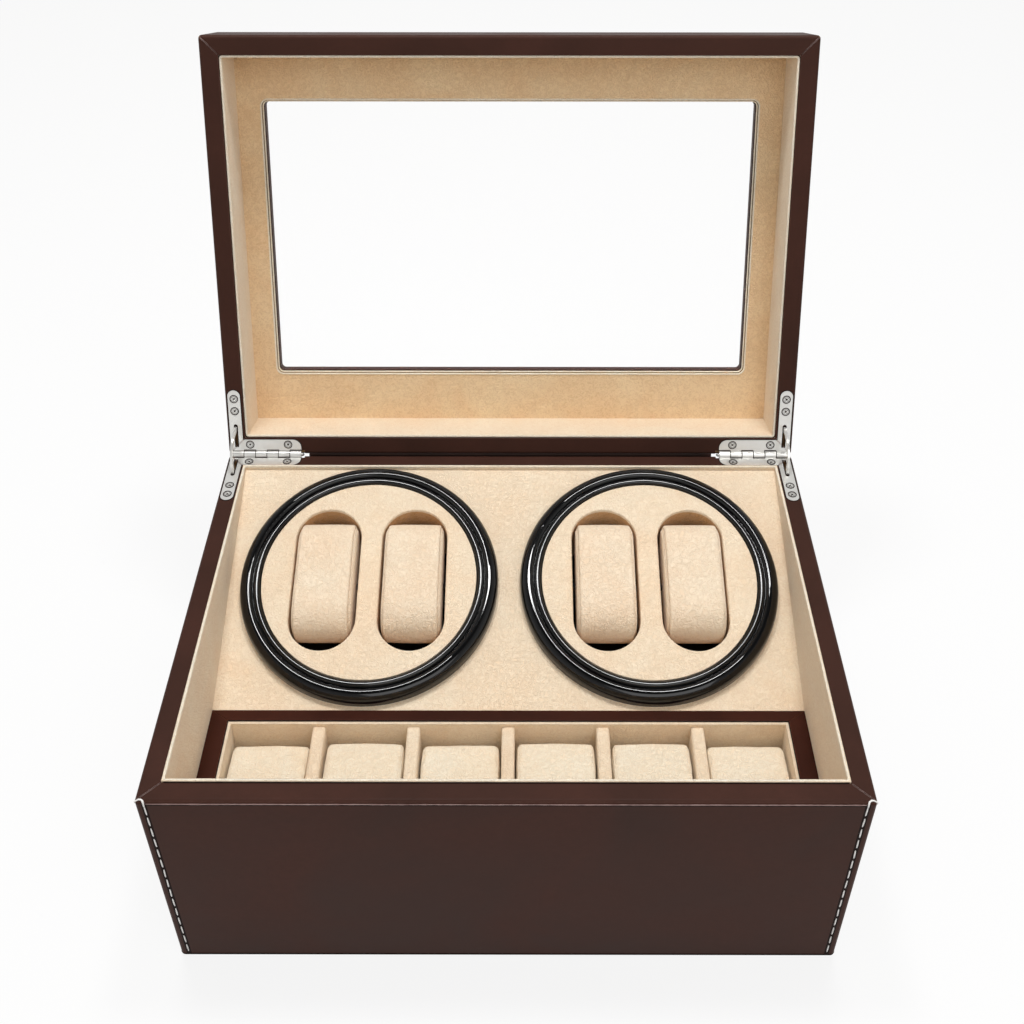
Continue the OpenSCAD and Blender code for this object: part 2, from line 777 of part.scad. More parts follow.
module tray_frame() {
  w = box_w - 2 * board_in;
  back = deck_front_y;
  front = board_in - box_d / 2;
  color(leather_red) difference() {
    translate([-w / 2, front, tray_z - frame_t]) cube([w, back - front, frame_t]);
    translate([-tray_in_w / 2, tray_mid_y - tray_in_d / 2, tray_z - frame_t - 1])
      cube([tray_in_w, tray_in_d, frame_t + 2]);
    for (x = [-1, 1]) {
      mitre_groove([x * in_w / 2, front_y], [-x * frame_w, frame_w]);
      mitre_groove([x * in_w / 2, deck_front_y], [-x * frame_w, -frame_back_w]);
    }
  }
}

// Groove across a corner of the tray frame, from its outer corner along a way
module mitre_groove(corner, way) {
  translate([corner.x, corner.y, tray_z - seam_d]) rotate([0, 0, atan2(way.y, way.x)])
    translate([-1, -seam_w / 2, 0]) cube([norm(way) + 2, seam_w, 1]);
}

module tray_lining() {
  w = tray_in_w - 2 * pocket_gap;
  d = tray_in_d - 2 * pocket_gap;
  color(velvet) translate([0, tray_mid_y, 0]) difference() {
    slab(w, d, bay_floor_z - tray_floor, tray_z - tray_shy);
    slab(w - 2 * tray_wall, d - 2 * tray_wall, bay_floor_z, tray_z);
  }
}

// Centre of a bay, counted from the left
function bay_x(n) = (n - (bays - 1) / 2) * (bay_w + divider_t);

module tray_dividers() {
  r = divider_edge_r;
  top = tray_z - divider_drop;
  color(velvet) for (n = [0:bays - 2])
    translate([(bay_x(n) + bay_x(n + 1)) / 2, tray_mid_y, 0]) {
      slab(divider_t, bay_d, bay_floor_z, top - r);
      slab(divider_t - 2 * r, bay_d, bay_floor_z, top);
      for (x = [-1, 1])
        translate([x * (divider_t / 2 - r), bay_d / 2, top - r])
          rotate([90, 0, 0]) cylinder(r = r, h = bay_d);
    }
}

module bezel_ring(side) {
  crest = ring_r - outer_roll_r;
  color(gloss_black) at_turntable(side) rotate_extrude($fn = 180) {
    translate([ring_in_r, 0]) square([crest - ring_in_r, inner_roll_h - inner_roll_r]);
    translate([ring_in_r, -spigot_h]) square([deck_hole_r - pocket_gap - ring_in_r, spigot_h + eps]);
    translate([ring_in_r + inner_roll_r, inner_roll_h - inner_roll_r]) circle(r = inner_roll_r);
    translate([crest - crest_r, 0]) square([crest_r, ring_h - crest_r]);
    translate([crest, ring_h - crest_r]) circle(r = crest_r);
    translate([crest, 0]) square([outer_roll_r, ring_h - outer_roll_r]);
    intersection() {
      translate([crest, ring_h - outer_roll_r]) circle(r = outer_roll_r);
      translate([crest, 0]) square([outer_roll_r + 1, ring_h + 1]);
    }
  }
}

// ---------- Drive ----------

// Angle between a tooth's middle and its flank at a radius
function flank(r, pitch_r, teeth) =
  let (base_r = pitch_r * cos(pressure_angle), a = acos(min(1, base_r / r)))
  90 / teeth - tooth_thin / pitch_r * 180 / PI
    + (tan(pressure_angle) * 180 / PI - pressure_angle) - (tan(a) * 180 / PI - a);

// Radii at which a flank's points are set
function flank_radii(pitch_r, add, ded) =
  let (base_r = max(pitch_r - ded, pitch_r * cos(pressure_angle)), tip = pitch_r + add)
  concat([pitch_r - ded], [for (k = [0:2]) base_r + 0.05 + (tip - base_r - 0.05) * k / 2]);

function turned(r, a) = [r * cos(a), r * sin(a)];

// Outline of a spur gear with involute flanks, one tooth's middle on +X
function gear_points(teeth, add, ded) =
  let (pitch_r = gear_module * teeth / 2, radii = flank_radii(pitch_r, add, ded))
  [for (t = [0:teeth - 1]) each concat(
    [for (k = [0:3]) turned(radii[k], t * 360 / teeth - flank(radii[k], pitch_r, teeth))],
    [for (k = [3:-1:0]) turned(radii[k], t * 360 / teeth + flank(radii[k], pitch_r, teeth))]
  )];

module spur_gear(teeth, add, w) {
  linear_extrude(w) polygon(gear_points(teeth, add, gear_ded));
}

// Plate on four posts below the deck, with a boss for the axle's bush
module motor_bracket(side) {
  front = gear_centres + gearbox_r + bracket_edge;
  back = post_y + post_r + bracket_edge;
  half = post_x + post_r;
  window_x = post_x - gearbox_r - 3 * bracket_edge;
  color(plastic_grey) at_turntable(side) difference() {
    union() {
      translate([0, (back - front) / 2, plate_base]) linear_extrude(plate_t)
        round_rect(2 * half, back + front, post_r);
      for (x = [-1, 1], y = [-1, 1])
        translate([x * post_x, y * post_y, plate_top - eps])
          cylinder(r = post_r, h = -deck_t - plate_top + eps);
      translate([0, 0, plate_base - bush_boss]) cylinder(r = bush_r + 2, h = bush_boss + eps);
    }
    translate([0, 0, plate_base - bush_boss - 1])
      cylinder(r = bush_r + fix_gap, h = plate_t + bush_boss + 2);
    translate([0, -gear_centres, plate_base - 1]) cylinder(r = shaft_r + 2, h = plate_t + 2);
    for (x = [-1, 1])
      translate([x * (post_x + gearbox_r) / 2, -front / 4, plate_base - 1])
        linear_extrude(plate_t + 2) round_rect(window_x, front / 2, bracket_edge);
  }
}

// Gearbox with the motor can and its two terminals below, and the bore for its output shaft
module gearmotor(side) {
  base = plate_base - gearbox_l;
  color(steel) at_motor(side) difference() {
    union() {
      translate([0, 0, base]) cylinder(r = gearbox_r, h = gearbox_l);
      translate([0, 0, base - motor_l]) cylinder(r = motor_r, h = motor_l + eps);
      for (x = [-1, 1])
        translate([x * motor_r / 2 - terminal_w / 2, -terminal_t / 2, base - motor_l - terminal_l])
          cube([terminal_w, terminal_t, terminal_l + eps]);
    }
    translate([0, 0, plate_base - shaft_bore]) cylinder(r = shaft_r + run_gap, h = shaft_bore + 1);
  }
}

// Flanged bushes that the turntable axles run in
module axle_bushes() {
  color(brass) for (side = [left, right]) at_turntable(side) difference() {
    union() {
      translate([0, 0, plate_base - bush_boss]) cylinder(r = bush_r, h = plate_t + bush_boss);
      translate([0, 0, plate_top]) cylinder(r = bush_r + 1.5, h = gear_lift - moving_gap);
    }
    translate([0, 0, plate_base - bush_boss - 1])
      cylinder(r = axle_r + run_gap, h = plate_t + bush_boss + gear_lift + 1);
  }
}

// Circuit board on four stand-offs, with its chip, two capacitors and two connectors
module control_board() {
  top = board_lift + board_thick;
  color(board_green)
    translate([0, box_d / 2 - board_in - board_gap - board_d / 2, floor_top]) {
      slab(board_w, board_d, board_lift, top);
      for (x = [-1, 1], y = [-1, 1])
        translate([x * (board_w / 2 - standoff_in), y * (board_d / 2 - standoff_in), 0])
          cylinder(r = standoff_r, h = board_lift + eps);
      translate([-board_w / 8, 0, top - eps]) slab(chip_w, chip_d, 0, chip_t);
      for (n = [1, 2])
        translate([board_w / 4 + (n - 1.5) * 2.5 * capacitor_r, capacitor_r, top - eps])
          cylinder(r = capacitor_r, h = capacitor_h);
      for (side = [left, right])
        translate([side * (board_w / 2 - plug_w), plug_d - board_d / 2, top - eps])
          slab(plug_w, plug_d, 0, plug_h);
    }
}

// ---------- Rear panel ----------

// Places children on the rear wall's outer face: Z into the wall, Y up
module at_panel(x) {
  translate([x, box_d / 2, panel_z]) rotate([90, 0, 0]) children();
}

// Inlet with a flange outside, a nut inside and a contact pin in its bore
module power_inlet() {
  color(gloss_black) at_panel(jack_x) difference() {
    union() {
      translate([0, 0, -jack_flange_t]) cylinder(r = jack_r + jack_flange, h = jack_flange_t);
      translate([0, 0, -eps]) cylinder(r = jack_r, h = board_in + jack_thread);
      translate([0, 0, board_in]) cylinder(r = jack_r + jack_nut, h = jack_nut_t, $fn = 6);
    }
    difference() {
      translate([0, 0, -jack_flange_t - 1]) cylinder(r = jack_bore_r, h = jack_bore_l + jack_flange_t);
      cylinder(r = jack_pin_r, h = jack_bore_l + 1);
    }
  }
}

// Slide switch body let into the rear wall, with the slot that the knob runs in
module mode_switch_body() {
  run_w = 2 * switch_travel + knob_w + 2 * moving_gap;
  run_h = knob_h + 2 * moving_gap;
  flange_w = switch_w + 2 * switch_flange;
  flange_h = switch_h + 2 * switch_flange;
  color(gloss_black) at_panel(switch_x) difference() {
    union() {
      slab(switch_w, switch_h, -eps, board_in + switch_behind);
      slab(flange_w, flange_h, -switch_flange_t, 0);
    }
    slab(run_w, run_h, -switch_flange_t - 1, knob_deep + moving_gap);
  }
}

// Knob with three grip grooves across its face
module mode_switch_knob() {
  color(plastic_white) at_panel(switch_x) difference() {
    slab(knob_w, knob_h, -knob_out, knob_deep);
    for (x = [-1, 0, 1])
      translate([x * knob_w / 4, 0, 0]) slab(0.5, knob_h + 2, -knob_out - 1, 0.5 - knob_out);
  }
}

// ---------- Hinges ----------

module base_leaf(side) {
  color(steel) at_hinge(side) hinge_leaf(1);
}

module lid_leaf(side) {
  color(steel) opened() at_lid_hinge(side) hinge_leaf(0);
}

module hinge_pins() {
  color(steel) for (side = [left, right]) at_hinge(side)
    translate([knuckle_in, 0, 0]) rotate([0, 90, 0]) {
      cylinder(r = pin_r, h = rear_arm - knuckle_in + pin_tip / 2);
      translate([0, 0, rear_arm - knuckle_in + pin_tip / 2])
        cylinder(r1 = pin_r, r2 = pin_r / 3, h = pin_tip / 2);
    }
}

module base_hinge_screws() {
  color(steel) for (side = [left, right]) at_hinge(side) at_screws() hinge_screw();
}

module lid_hinge_screws() {
  color(steel) opened() for (side = [left, right]) at_lid_hinge(side) at_screws() hinge_screw();
}

module side_stay(side) {
  color(steel) at_hinge(side) stay();
}

// ---------- Lid, drawn shut and then opened ----------

module lid_side_boards() {
  color(mdf) opened() for (side = [left, right]) difference() {
    translate([side_board_x(side), wrap_t - box_d / 2, lid_z + wrap_t])
      cube([board_t, box_d - 2 * wrap_t, lid_h - top_t - 2 * wrap_t]);
    at_lid_hinge(side) hinge_pocket();
  }
}

module lid_cross_boards() {
  color(mdf) opened() difference() {
    for (y = [wrap_t - box_d / 2, box_d / 2 - board_in])
      translate([board_in - box_w / 2, y, lid_z + wrap_t])
        cube([box_w - 2 * board_in, board_t, lid_h - top_t - 2 * wrap_t]);
    for (side = [left, right]) at_lid_hinge(side) hinge_pocket();
  }
}

module lid_top_frame() {
  color(mdf) opened() difference() {
    slab(box_w - 2 * wrap_t, box_d - 2 * wrap_t, lid_top - wrap_t - top_t, lid_top - wrap_t);
    translate([0, window_y, lid_z]) linear_extrude(lid_h)
      round_rect(window_w + 2 * wrap_t, window_d + 2 * wrap_t, window_r + wrap_t);
  }
}

module lid_wrap() {
  color(leather) opened() difference() {
    union() {
      difference() {
        translate([0, 0, lid_z]) rolled_block(box_w, box_d, lid_h, edge_r, true);
        slab(box_w - 2 * wrap_t, box_d - 2 * wrap_t, lid_z + wrap_t, lid_top - wrap_t);
      }
      slab(box_w - 2 * board_in, box_d - 2 * board_in, lid_z + wrap_t / 2, lid_z + turn_in);
      translate([0, window_y, lid_top - wrap_t - top_t]) linear_extrude(top_t + wrap_t / 2)
        round_rect(window_w + 2 * wrap_t, window_d + 2 * wrap_t, window_r + wrap_t);
    }
    slab(box_w - 2 * rim_w, box_d - 2 * rim_w, lid_z - 1, lid_top - wrap_t - top_t);
    translate([0, window_y, lid_z]) linear_extrude(lid_h + 1)
      round_rect(window_w, window_d, window_r);
    for (side = [left, right]) at_lid_hinge(side) hinge_pocket();
    mirror([0, 0, 1]) mitre_seams(-lid_z);
  }
}

module lid_lining() {
  out = lining_t + wrap_t;
  color(velvet) opened() difference() {
    slab(in_w + 2 * out, in_d + 2 * out, lid_z + lining_shy, ceiling_z);
    slab(in_w, in_d, lid_z - 1, ceiling_z + 1);
    difference() {
      slab(in_w + 4 * out, in_d + 4 * out, lid_z, lid_z + turn_in);
      slab(in_w + 2 * lining_t, in_d + 2 * lining_t, lid_z - 1, lid_z + turn_in + 1);
    }
  }
}

module lid_ceiling() {
  color(velvet) opened() difference() {
    slab(box_w - 2 * board_in, box_d - 2 * board_in, ceiling_z, ceiling_z + ceiling_t + pane_t);
    translate([0, window_y, ceiling_z + ceiling_t]) linear_extrude(pane_t + 1)
      square([window_w + 2 * pane_lap + 2 * pocket_gap, window_d + 2 * pane_lap + 2 * pocket_gap],
        center = true);
    translate([0, window_y, ceiling_z - 1]) linear_extrude(ceiling_t + 2)
      round_rect(window_w + 2 * ceiling_step, window_d + 2 * ceiling_step, window_r + ceiling_step);
  }
}

module window_pane() {
  color(clear_pane) opened()
    translate([0, window_y, ceiling_z + ceiling_t]) linear_extrude(pane_t)
      square([window_w + 2 * pane_lap, window_d + 2 * pane_lap], center = true);
}

// ---------- Turntables ----------

// Places children at the two slots of a turntable
module at_slots() {
  for (x = [-1, 1]) translate([x * slot_pitch / 2, 0, 0]) children();
}

// Moulded flange with two hanging cups, their ribs and the hub
module turntable_cups(side) {
  color(plastic_white) at_turntable(side) {
    difference() {
      union() {
        translate([0, 0, flange_top - flange_t]) cylinder(r = disc_r, h = flange_t, $fn = 180);
        at_slots() translate([0, 0, cup_base]) linear_extrude(cup_deep + cup_wall)
          pill(slot_w + 2 * cup_wall, slot_l + 2 * cup_wall);
        translate([0, 0, gear_top]) cylinder(r = hub_r, h = hub_h + cup_wall);
      }
      at_slots() translate([0, 0, cup_floor]) linear_extrude(cup_deep + 1) pill(slot_w, slot_l);
    }
    at_slots() for (x = [-1, 1])
      translate([x * (slot_w - rib_out) / 2, cuff_shift, 0])
        slab(rib_out + eps, rib_l, cup_floor - eps, lug_level - lug_r - moving_gap);
  }
}

module turntable_disc(side) {
  color(velvet) at_turntable(side) translate([0, 0, flange_top]) linear_extrude(disc_t)
    difference() {
      circle(r = disc_r, $fn = 180);
      at_slots() pill(slot_w, slot_l);
    }
}

// Gear with its axle and the clip groove that keeps it in the bush
module turntable_gear(side) {
  color(plastic_white) at_turntable(side) difference() {
    union() {
      translate([0, 0, gear_base]) rotate([0, 0, -90]) spur_gear(gear_teeth, gear_add, gear_w);
      translate([0, 0, gear_base - axle_l]) cylinder(r = axle_r, h = axle_l + eps);
    }
    translate([0, 0, gear_base - axle_l + 1]) difference() {
      cylinder(r = axle_r + 1, h = clip_groove_w);
      cylinder(r = axle_r - clip_groove_d, h = clip_groove_w);
    }
  }
}

// Pinion on the motor's output shaft, with a gap between teeth facing the gear
module motor_pinion(side) {
  low = gear_base + pinion_inset;
  color(plastic_grey) at_motor(side) {
    translate([0, 0, low]) rotate([0, 0, 90 + 180 / pinion_teeth])
      spur_gear(pinion_teeth, pinion_add, gear_w - 2 * pinion_inset);
    translate([0, 0, plate_base - pinion_reach])
      cylinder(r = shaft_r, h = low - plate_base + pinion_reach + eps);
  }
}

// Velvet cuff: a band round a slightly smaller and wider body, with its two lugs
module cuff(side, slot) {
  mid = disc_h + cuff_rise - cuff_t / 2;
  color(velvet) at_turntable(side)
    translate([slot * slot_pitch / 2, cuff_shift, 0]) {
      translate([0, 0, mid]) along_x(cuff_band_w) oblong(cuff_l, cuff_t);
      translate([0, 0, mid]) along_x(cuff_w) oblong(plate_l, cuff_t - 2 * cuff_step);
      translate([0, 0, lug_level]) rotate([0, 90, 0])
        cylinder(r = lug_r, h = cuff_w + 2 * lug_l, center = true);
    }
}

// ---------- Storage pillows ----------

module pillow(n) {
  w = bay_w - 2 * pillow_gap;
  side_r = (w * w / 4 + pillow_side_dome * pillow_side_dome) / (2 * pillow_side_dome);
  long_r = (pillow_l * pillow_l / 4 + pillow_dome * pillow_dome) / (2 * pillow_dome);
  low = bay_floor_z + pillow_gap;
  peak = tray_z - pillow_drop + pillow_dome;
  color(velvet) translate([bay_x(n), tray_mid_y, 0]) intersection() {
    translate([0, 0, low]) linear_extrude(peak - low) round_rect(w, pillow_l, pillow_r);
    translate([0, 0, peak - long_r]) rotate([0, 90, 0])
      cylinder(r = long_r, h = w + 2, center = true, $fn = 180);
    translate([0, 0, peak - side_r]) rotate([90, 0, 0])
      cylinder(r = side_r, h = pillow_l + 2, center = true, $fn = 180);
  }
}

floor_board();
front_board();
rear_board();
side_board(left);  // left_board
side_board(right);  // right_board
base_wrap();
bottom_felt();
base_lining();
winder_deck();
support_battens();
tray_frame();
tray_lining();
tray_dividers();
bezel_ring(left);  // left_bezel_ring
bezel_ring(right);  // right_bezel_ring
motor_bracket(left);  // left_motor_bracket
motor_bracket(right);  // right_motor_bracket
gearmotor(left);  // left_gearmotor
gearmotor(right);  // right_gearmotor
axle_bushes();
control_board();
power_inlet();
mode_switch_body();
base_leaf(left);  // left_base_leaf
base_leaf(right);  // right_base_leaf
hinge_pins();
base_hinge_screws();
lid_side_boards();
lid_cross_boards();
lid_top_frame();
lid_wrap();
lid_lining();
lid_ceiling();
window_pane();
lid_leaf(left);  // left_lid_leaf
lid_leaf(right);  // right_lid_leaf
lid_hinge_screws();
side_stay(left);  // left_stay
side_stay(right);  // right_stay
turntable_cups(left);  // left_turntable_cups
turntable_disc(left);  // left_turntable_disc
turntable_gear(left);  // left_turntable_gear
turntable_cups(right);  // right_turntable_cups
turntable_disc(right);  // right_turntable_disc
turntable_gear(right);  // right_turntable_gear
motor_pinion(left);  // left_motor_pinion
motor_pinion(right);  // right_motor_pinion
cuff(left, left);  // left_cuff_outer
cuff(left, right);  // left_cuff_inner
cuff(right, left);  // right_cuff_inner
cuff(right, right);  // right_cuff_outer
pillow(0);  // pillow_1
pillow(1);  // pillow_2
pillow(2);  // pillow_3
pillow(3);  // pillow_4
pillow(4);  // pillow_5
pillow(5);  // pillow_6
mode_switch_knob();
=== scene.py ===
"""Watch winder box: materials, soft goods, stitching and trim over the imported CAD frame."""

import math
import random

import bpy
import numpy as np
from mathutils import Matrix, Vector
from mathutils.bvhtree import BVHTree


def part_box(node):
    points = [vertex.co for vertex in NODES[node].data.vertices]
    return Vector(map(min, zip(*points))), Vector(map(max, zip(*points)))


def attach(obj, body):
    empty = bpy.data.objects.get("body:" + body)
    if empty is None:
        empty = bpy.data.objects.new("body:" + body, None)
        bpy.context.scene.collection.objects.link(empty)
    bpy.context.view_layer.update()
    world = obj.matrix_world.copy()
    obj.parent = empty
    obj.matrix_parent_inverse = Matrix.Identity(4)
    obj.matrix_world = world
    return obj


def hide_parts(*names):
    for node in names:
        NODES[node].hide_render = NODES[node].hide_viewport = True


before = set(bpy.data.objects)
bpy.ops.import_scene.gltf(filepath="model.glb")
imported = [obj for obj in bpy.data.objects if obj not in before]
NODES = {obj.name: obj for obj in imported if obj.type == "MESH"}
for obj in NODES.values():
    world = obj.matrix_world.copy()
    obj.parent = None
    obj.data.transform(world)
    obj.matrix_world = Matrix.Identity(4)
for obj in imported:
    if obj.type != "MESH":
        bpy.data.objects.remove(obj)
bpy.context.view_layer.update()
MM = 0.001

# ---------- Named sizes, repeated from the CAD source, in metres ----------

BOX_W, BOX_D, BASE_H = 0.335, 0.240, 0.132
RIM_W, EDGE_R = 0.0104, 0.002
LINING_T, LINING_PROUD, LINING_SHY = 0.0014, 0.001, 0.0008
IN_W, IN_D = BOX_W - 2 * (RIM_W + LINING_T), BOX_D - 2 * (RIM_W + LINING_T)
LID_Z = 0.1326
LID_PIVOT = Vector((0.0, 0.120, 0.1323))
LID_OPEN = math.radians(110)
KNUCKLE_IN, KNUCKLE_L = 0.0026, 0.0068
CEILING_Z = 0.1647
WINDOW = (0.281, 0.160, -0.002, 0.0025)  # width, depth, middle in y, corner radius
CEILING_STEP = 0.0016
DECK_ORIGIN = Vector((0.0, 0.1082, 0.1305))
DECK_ANGLE = math.radians(18)
DECK_LEN = 0.1471
TABLE_X = 0.0775
SLOT_X = 0.0242
SLOT_W, SLOT_L = 0.037, 0.0859
DISC_H = 0.0066
CUP_FLOOR = -0.0316
TRAY_Z = 0.08504
CUFF_SHIFT, CUFF_MID = 0.0004, -0.0004
CUFF_L, CUFF_T, BAND_W = 0.0694, 0.032, 0.0295
PLATE_L, PLATE_T, PLATE_W = 0.0634, 0.026, 0.0325

ON_DECK = Matrix.Translation(DECK_ORIGIN) @ Matrix.Rotation(DECK_ANGLE, 4, "X")
OPENED = (
    Matrix.Translation(LID_PIVOT)
    @ Matrix.Rotation(-LID_OPEN, 4, "X")
    @ Matrix.Translation(-LID_PIVOT)
)


def at_table(side):
    """The frame of a turntable: origin on its axis, Z along it."""
    return ON_DECK @ Matrix.Translation((side * TABLE_X, -DECK_LEN / 2, 0))


# ---------- Materials ----------


def srgb(r, g, b):
    """An 8-bit screen colour as a linear one."""
    lin = [
        c / 255 / 12.92 if c <= 10 else ((c / 255 + 0.055) / 1.055) ** 2.4
        for c in (r, g, b)
    ]
    return (*lin, 1.0)


class Mat:
    """A node material round one Principled BSDF, in object coordinates in metres."""

    def __init__(self, name, **sockets):
        self.m = bpy.data.materials.new(name)
        self.m.use_nodes = True
        self.t = self.m.node_tree
        self.b = self.t.nodes["Principled BSDF"]
        self.co = self.t.nodes.new("ShaderNodeTexCoord").outputs["Object"]
        for k, v in sockets.items():
            self.b.inputs[k.replace("_", " ")].default_value = v

    def node(self, kind, ins=None, **props):
        """A node with its inputs linked or set, and its properties set."""
        n = self.t.nodes.new(kind)
        for k, v in props.items():
            setattr(n, k, v)
        for k, v in (ins or {}).items():
            if isinstance(v, bpy.types.NodeSocket):
                self.t.links.new(v, n.inputs[k])
            else:
                n.inputs[k].default_value = v
        return n

    def stretch(self, scale):
        """Object coordinates scaled along each axis."""
        return self.node(
            "ShaderNodeMapping", {"Vector": self.co, "Scale": scale}
        ).outputs["Vector"]

    def noise(self, scale, detail=3.0, rough=0.5, warp=0.0, at=None):
        return self.node(
            "ShaderNodeTexNoise",
            {
                "Vector": at or self.co,
                "Scale": scale,
                "Detail": detail,
                "Roughness": rough,
                "Distortion": warp,
            },
        ).outputs["Fac"]

    def cells(self, scale, uneven=1.0):
        """Distance to the edges of a cell pattern."""
        return self.node(
            "ShaderNodeTexVoronoi",
            {"Vector": self.co, "Scale": scale, "Randomness": uneven},
            feature="DISTANCE_TO_EDGE",
        ).outputs["Distance"]

    def math(self, op, a, b=0.5):
        return self.node("ShaderNodeMath", {0: a, 1: b}, operation=op).outputs[0]

    def fit(self, v, lo, hi, out_lo=0.0, out_hi=1.0):
        """v mapped from one range to another."""
        return self.node(
            "ShaderNodeMapRange",
            {
                "Value": v,
                "From Min": lo,
                "From Max": hi,
                "To Min": out_lo,
                "To Max": out_hi,
            },
        ).outputs["Result"]

    def mix(self, fac, a, b):
        """Colour a where fac is 0, b where it is 1."""
        n = self.node("ShaderNodeMix", data_type="RGBA")
        for i, v in ((0, fac), (6, a), (7, b)):
            if isinstance(v, bpy.types.NodeSocket):
                self.t.links.new(v, n.inputs[i])
            else:
                n.inputs[i].default_value = v
        return n.outputs[2]

    def bump(self, height, strength, distance, onto=None):
        ins = {"Height": height, "Strength": strength, "Distance": distance}
        if onto is not None:
            ins["Normal"] = onto
        return self.node("ShaderNodeBump", ins).outputs["Normal"]

    def round_edges(self, radius):
        return self.node(
            "ShaderNodeBevel", {"Radius": radius}, samples=6
        ).outputs["Normal"]

    def edges(self, radius):
        """1 on the sharp edges, 0 away from them."""
        rounded = self.round_edges(radius)
        true = self.node("ShaderNodeNewGeometry").outputs["True Normal"]
        dot = self.node(
            "ShaderNodeVectorMath", {0: rounded, 1: true}, operation="DOT_PRODUCT"
        ).outputs["Value"]
        return self.fit(dot, 0.985, 0.80)

    def set(self, **links):
        """Link sockets of the Principled BSDF by name."""
        for k, v in links.items():
            self.t.links.new(v, self.b.inputs[k.replace("_", " ")])
        return self


def leather(name, base, dark, pale, rough=0.46):
    """Coated leatherette: fine pebble grain, cloudy colour, rubbed edges."""
    m = Mat(name, Specular_IOR_Level=0.07)
    pits = m.fit(m.cells(900.0), 0.0, 0.10)
    fine = m.noise(2160.0, 2.0, 0.6)
    cloud = m.noise(14.0, 4.0, 0.55, 0.6)
    speck = m.noise(260.0, 3.0, 0.6)
    colour = m.mix(m.fit(cloud, 0.3, 0.7), dark, base)
    colour = m.mix(m.fit(speck, 0.35, 0.8, 0.0, 0.35), colour, dark)
    colour = m.mix(m.fit(pits, 0.0, 1.0, 0.22, 0.0), colour, dark)
    worn = m.math("MULTIPLY", m.edges(0.0009), m.fit(speck, 0.3, 0.6, 0.25, 0.9))
    colour = m.mix(worn, colour, pale)
    height = m.math("ADD", m.math("MULTIPLY", pits, 0.7), m.math("MULTIPLY", fine, 0.5))
    wave = m.noise(38.0, 2.0, 0.4)
    normal = m.bump(wave, 0.10, 0.002, m.round_edges(0.0006))
    normal = m.bump(height, 0.16, 0.00012, normal)
    return m.set(
        Base_Color=colour,
        Roughness=m.fit(cloud, 0.25, 0.75, rough - 0.05, rough + 0.08),
        Normal=normal,
    ).m


def velvet(name, base, deep, pale, grain=480.0):
    """Short-pile velvet: suede-like worming grain with a painted highlight on its ridges and
    painted shade between them, brushed patches, a pale sheen.
    """
    m = Mat(
        name,
        Specular_IOR_Level=0.12,
        Sheen_Weight=0.35,
        Sheen_Roughness=0.42,
        Sheen_Tint=(1.0, 0.93, 0.84, 1.0),
    )
    worms = m.noise(grain, 2.0, 0.5, 1.2)
    level = m.math("ABSOLUTE", m.math("SUBTRACT", worms, 0.5))
    ridge = m.fit(level, 0.0, 0.13, 1.0, 0.0)
    fibre = m.noise(grain * 4.0, 2.0, 0.7)
    patch = m.noise(30.0, 3.0, 0.5, 0.8)
    colour = m.mix(m.fit(patch, 0.3, 0.7), base, pale)
    # Painted shade between the grain's ridges, then a painted highlight on their tops
    colour = m.mix(m.fit(ridge, 0.0, 0.8, 0.26, 0.0), colour, deep)
    colour = m.mix(m.fit(ridge, 0.5, 1.0, 0.0, 0.3), colour, pale)
    colour = m.mix(m.fit(fibre, 0.4, 0.75, 0.0, 0.06), colour, deep)
    height = m.math("ADD", ridge, m.math("MULTIPLY", fibre, 0.12))
    normal = m.bump(height, 0.7, 0.0004, m.round_edges(0.0007))
    return m.set(
        Base_Color=colour,
        Roughness=m.fit(worms, 0.3, 0.7, 0.95, 0.82),
        Normal=normal,
    ).m


def board(name):
    """Raw MDF with pressed fibres."""
    m = Mat(name, Specular_IOR_Level=0.2)
    fibre = m.noise(900.0, 4.0, 0.7, 0.4, m.stretch((1.0, 1.0, 0.25)))
    patch = m.noise(45.0, 3.0)
    colour = m.mix(fibre, srgb(150, 116, 78), srgb(196, 160, 116))
    colour = m.mix(m.fit(patch, 0.35, 0.7, 0.0, 0.3), colour, srgb(128, 96, 62))
    return m.set(
        Base_Color=colour,
        Roughness=m.fit(fibre, 0.3, 0.7, 0.75, 0.95),
        Normal=m.bump(fibre, 0.4, 0.0001),
    ).m


def felt(name):
    m = Mat(name, Specular_IOR_Level=0.1, Sheen_Weight=0.25, Sheen_Roughness=0.5)
    fuzz = m.noise(1600.0, 4.0, 0.75, 2.0)
    colour = m.mix(fuzz, srgb(16, 15, 15), srgb(42, 40, 40))
    return m.set(
        Base_Color=colour,
        Roughness=m.fit(fuzz, 0.3, 0.7, 0.85, 1.0),
        Normal=m.bump(fuzz, 0.6, 0.0003),
    ).m


def gloss_black(name):
    """Moulded high-gloss ABS: faint flow ripple and swirl marks."""
    m = Mat(name, Specular_IOR_Level=0.45)
    ripple = m.noise(60.0, 2.0, 0.4, 0.5)
    dust = m.noise(1800.0, 2.0, 0.6)
    colour = m.mix(ripple, srgb(7, 7, 8), srgb(15, 15, 16))
    return m.set(
        Base_Color=colour,
        Roughness=m.fit(dust, 0.3, 0.75, 0.05, 0.10),
        Normal=m.bump(ripple, 0.004, 0.001),
    ).m


def moulded(name, dark, base, rough=0.5):
    """Spark-textured moulded plastic."""
    m = Mat(name, Specular_IOR_Level=0.45)
    spark = m.noise(1400.0, 3.0, 0.6)
    patch = m.noise(50.0, 2.0)
    colour = m.mix(m.fit(patch, 0.3, 0.7), dark, base)
    colour = m.mix(m.math("MULTIPLY", m.edges(0.0004), 0.35), colour, (0.8, 0.8, 0.8, 1))
    return m.set(
        Base_Color=colour,
        Roughness=m.fit(spark, 0.3, 0.7, rough - 0.08, rough + 0.12),
        Normal=m.bump(spark, 0.25, 0.0001, m.round_edges(0.0003)),
    ).m


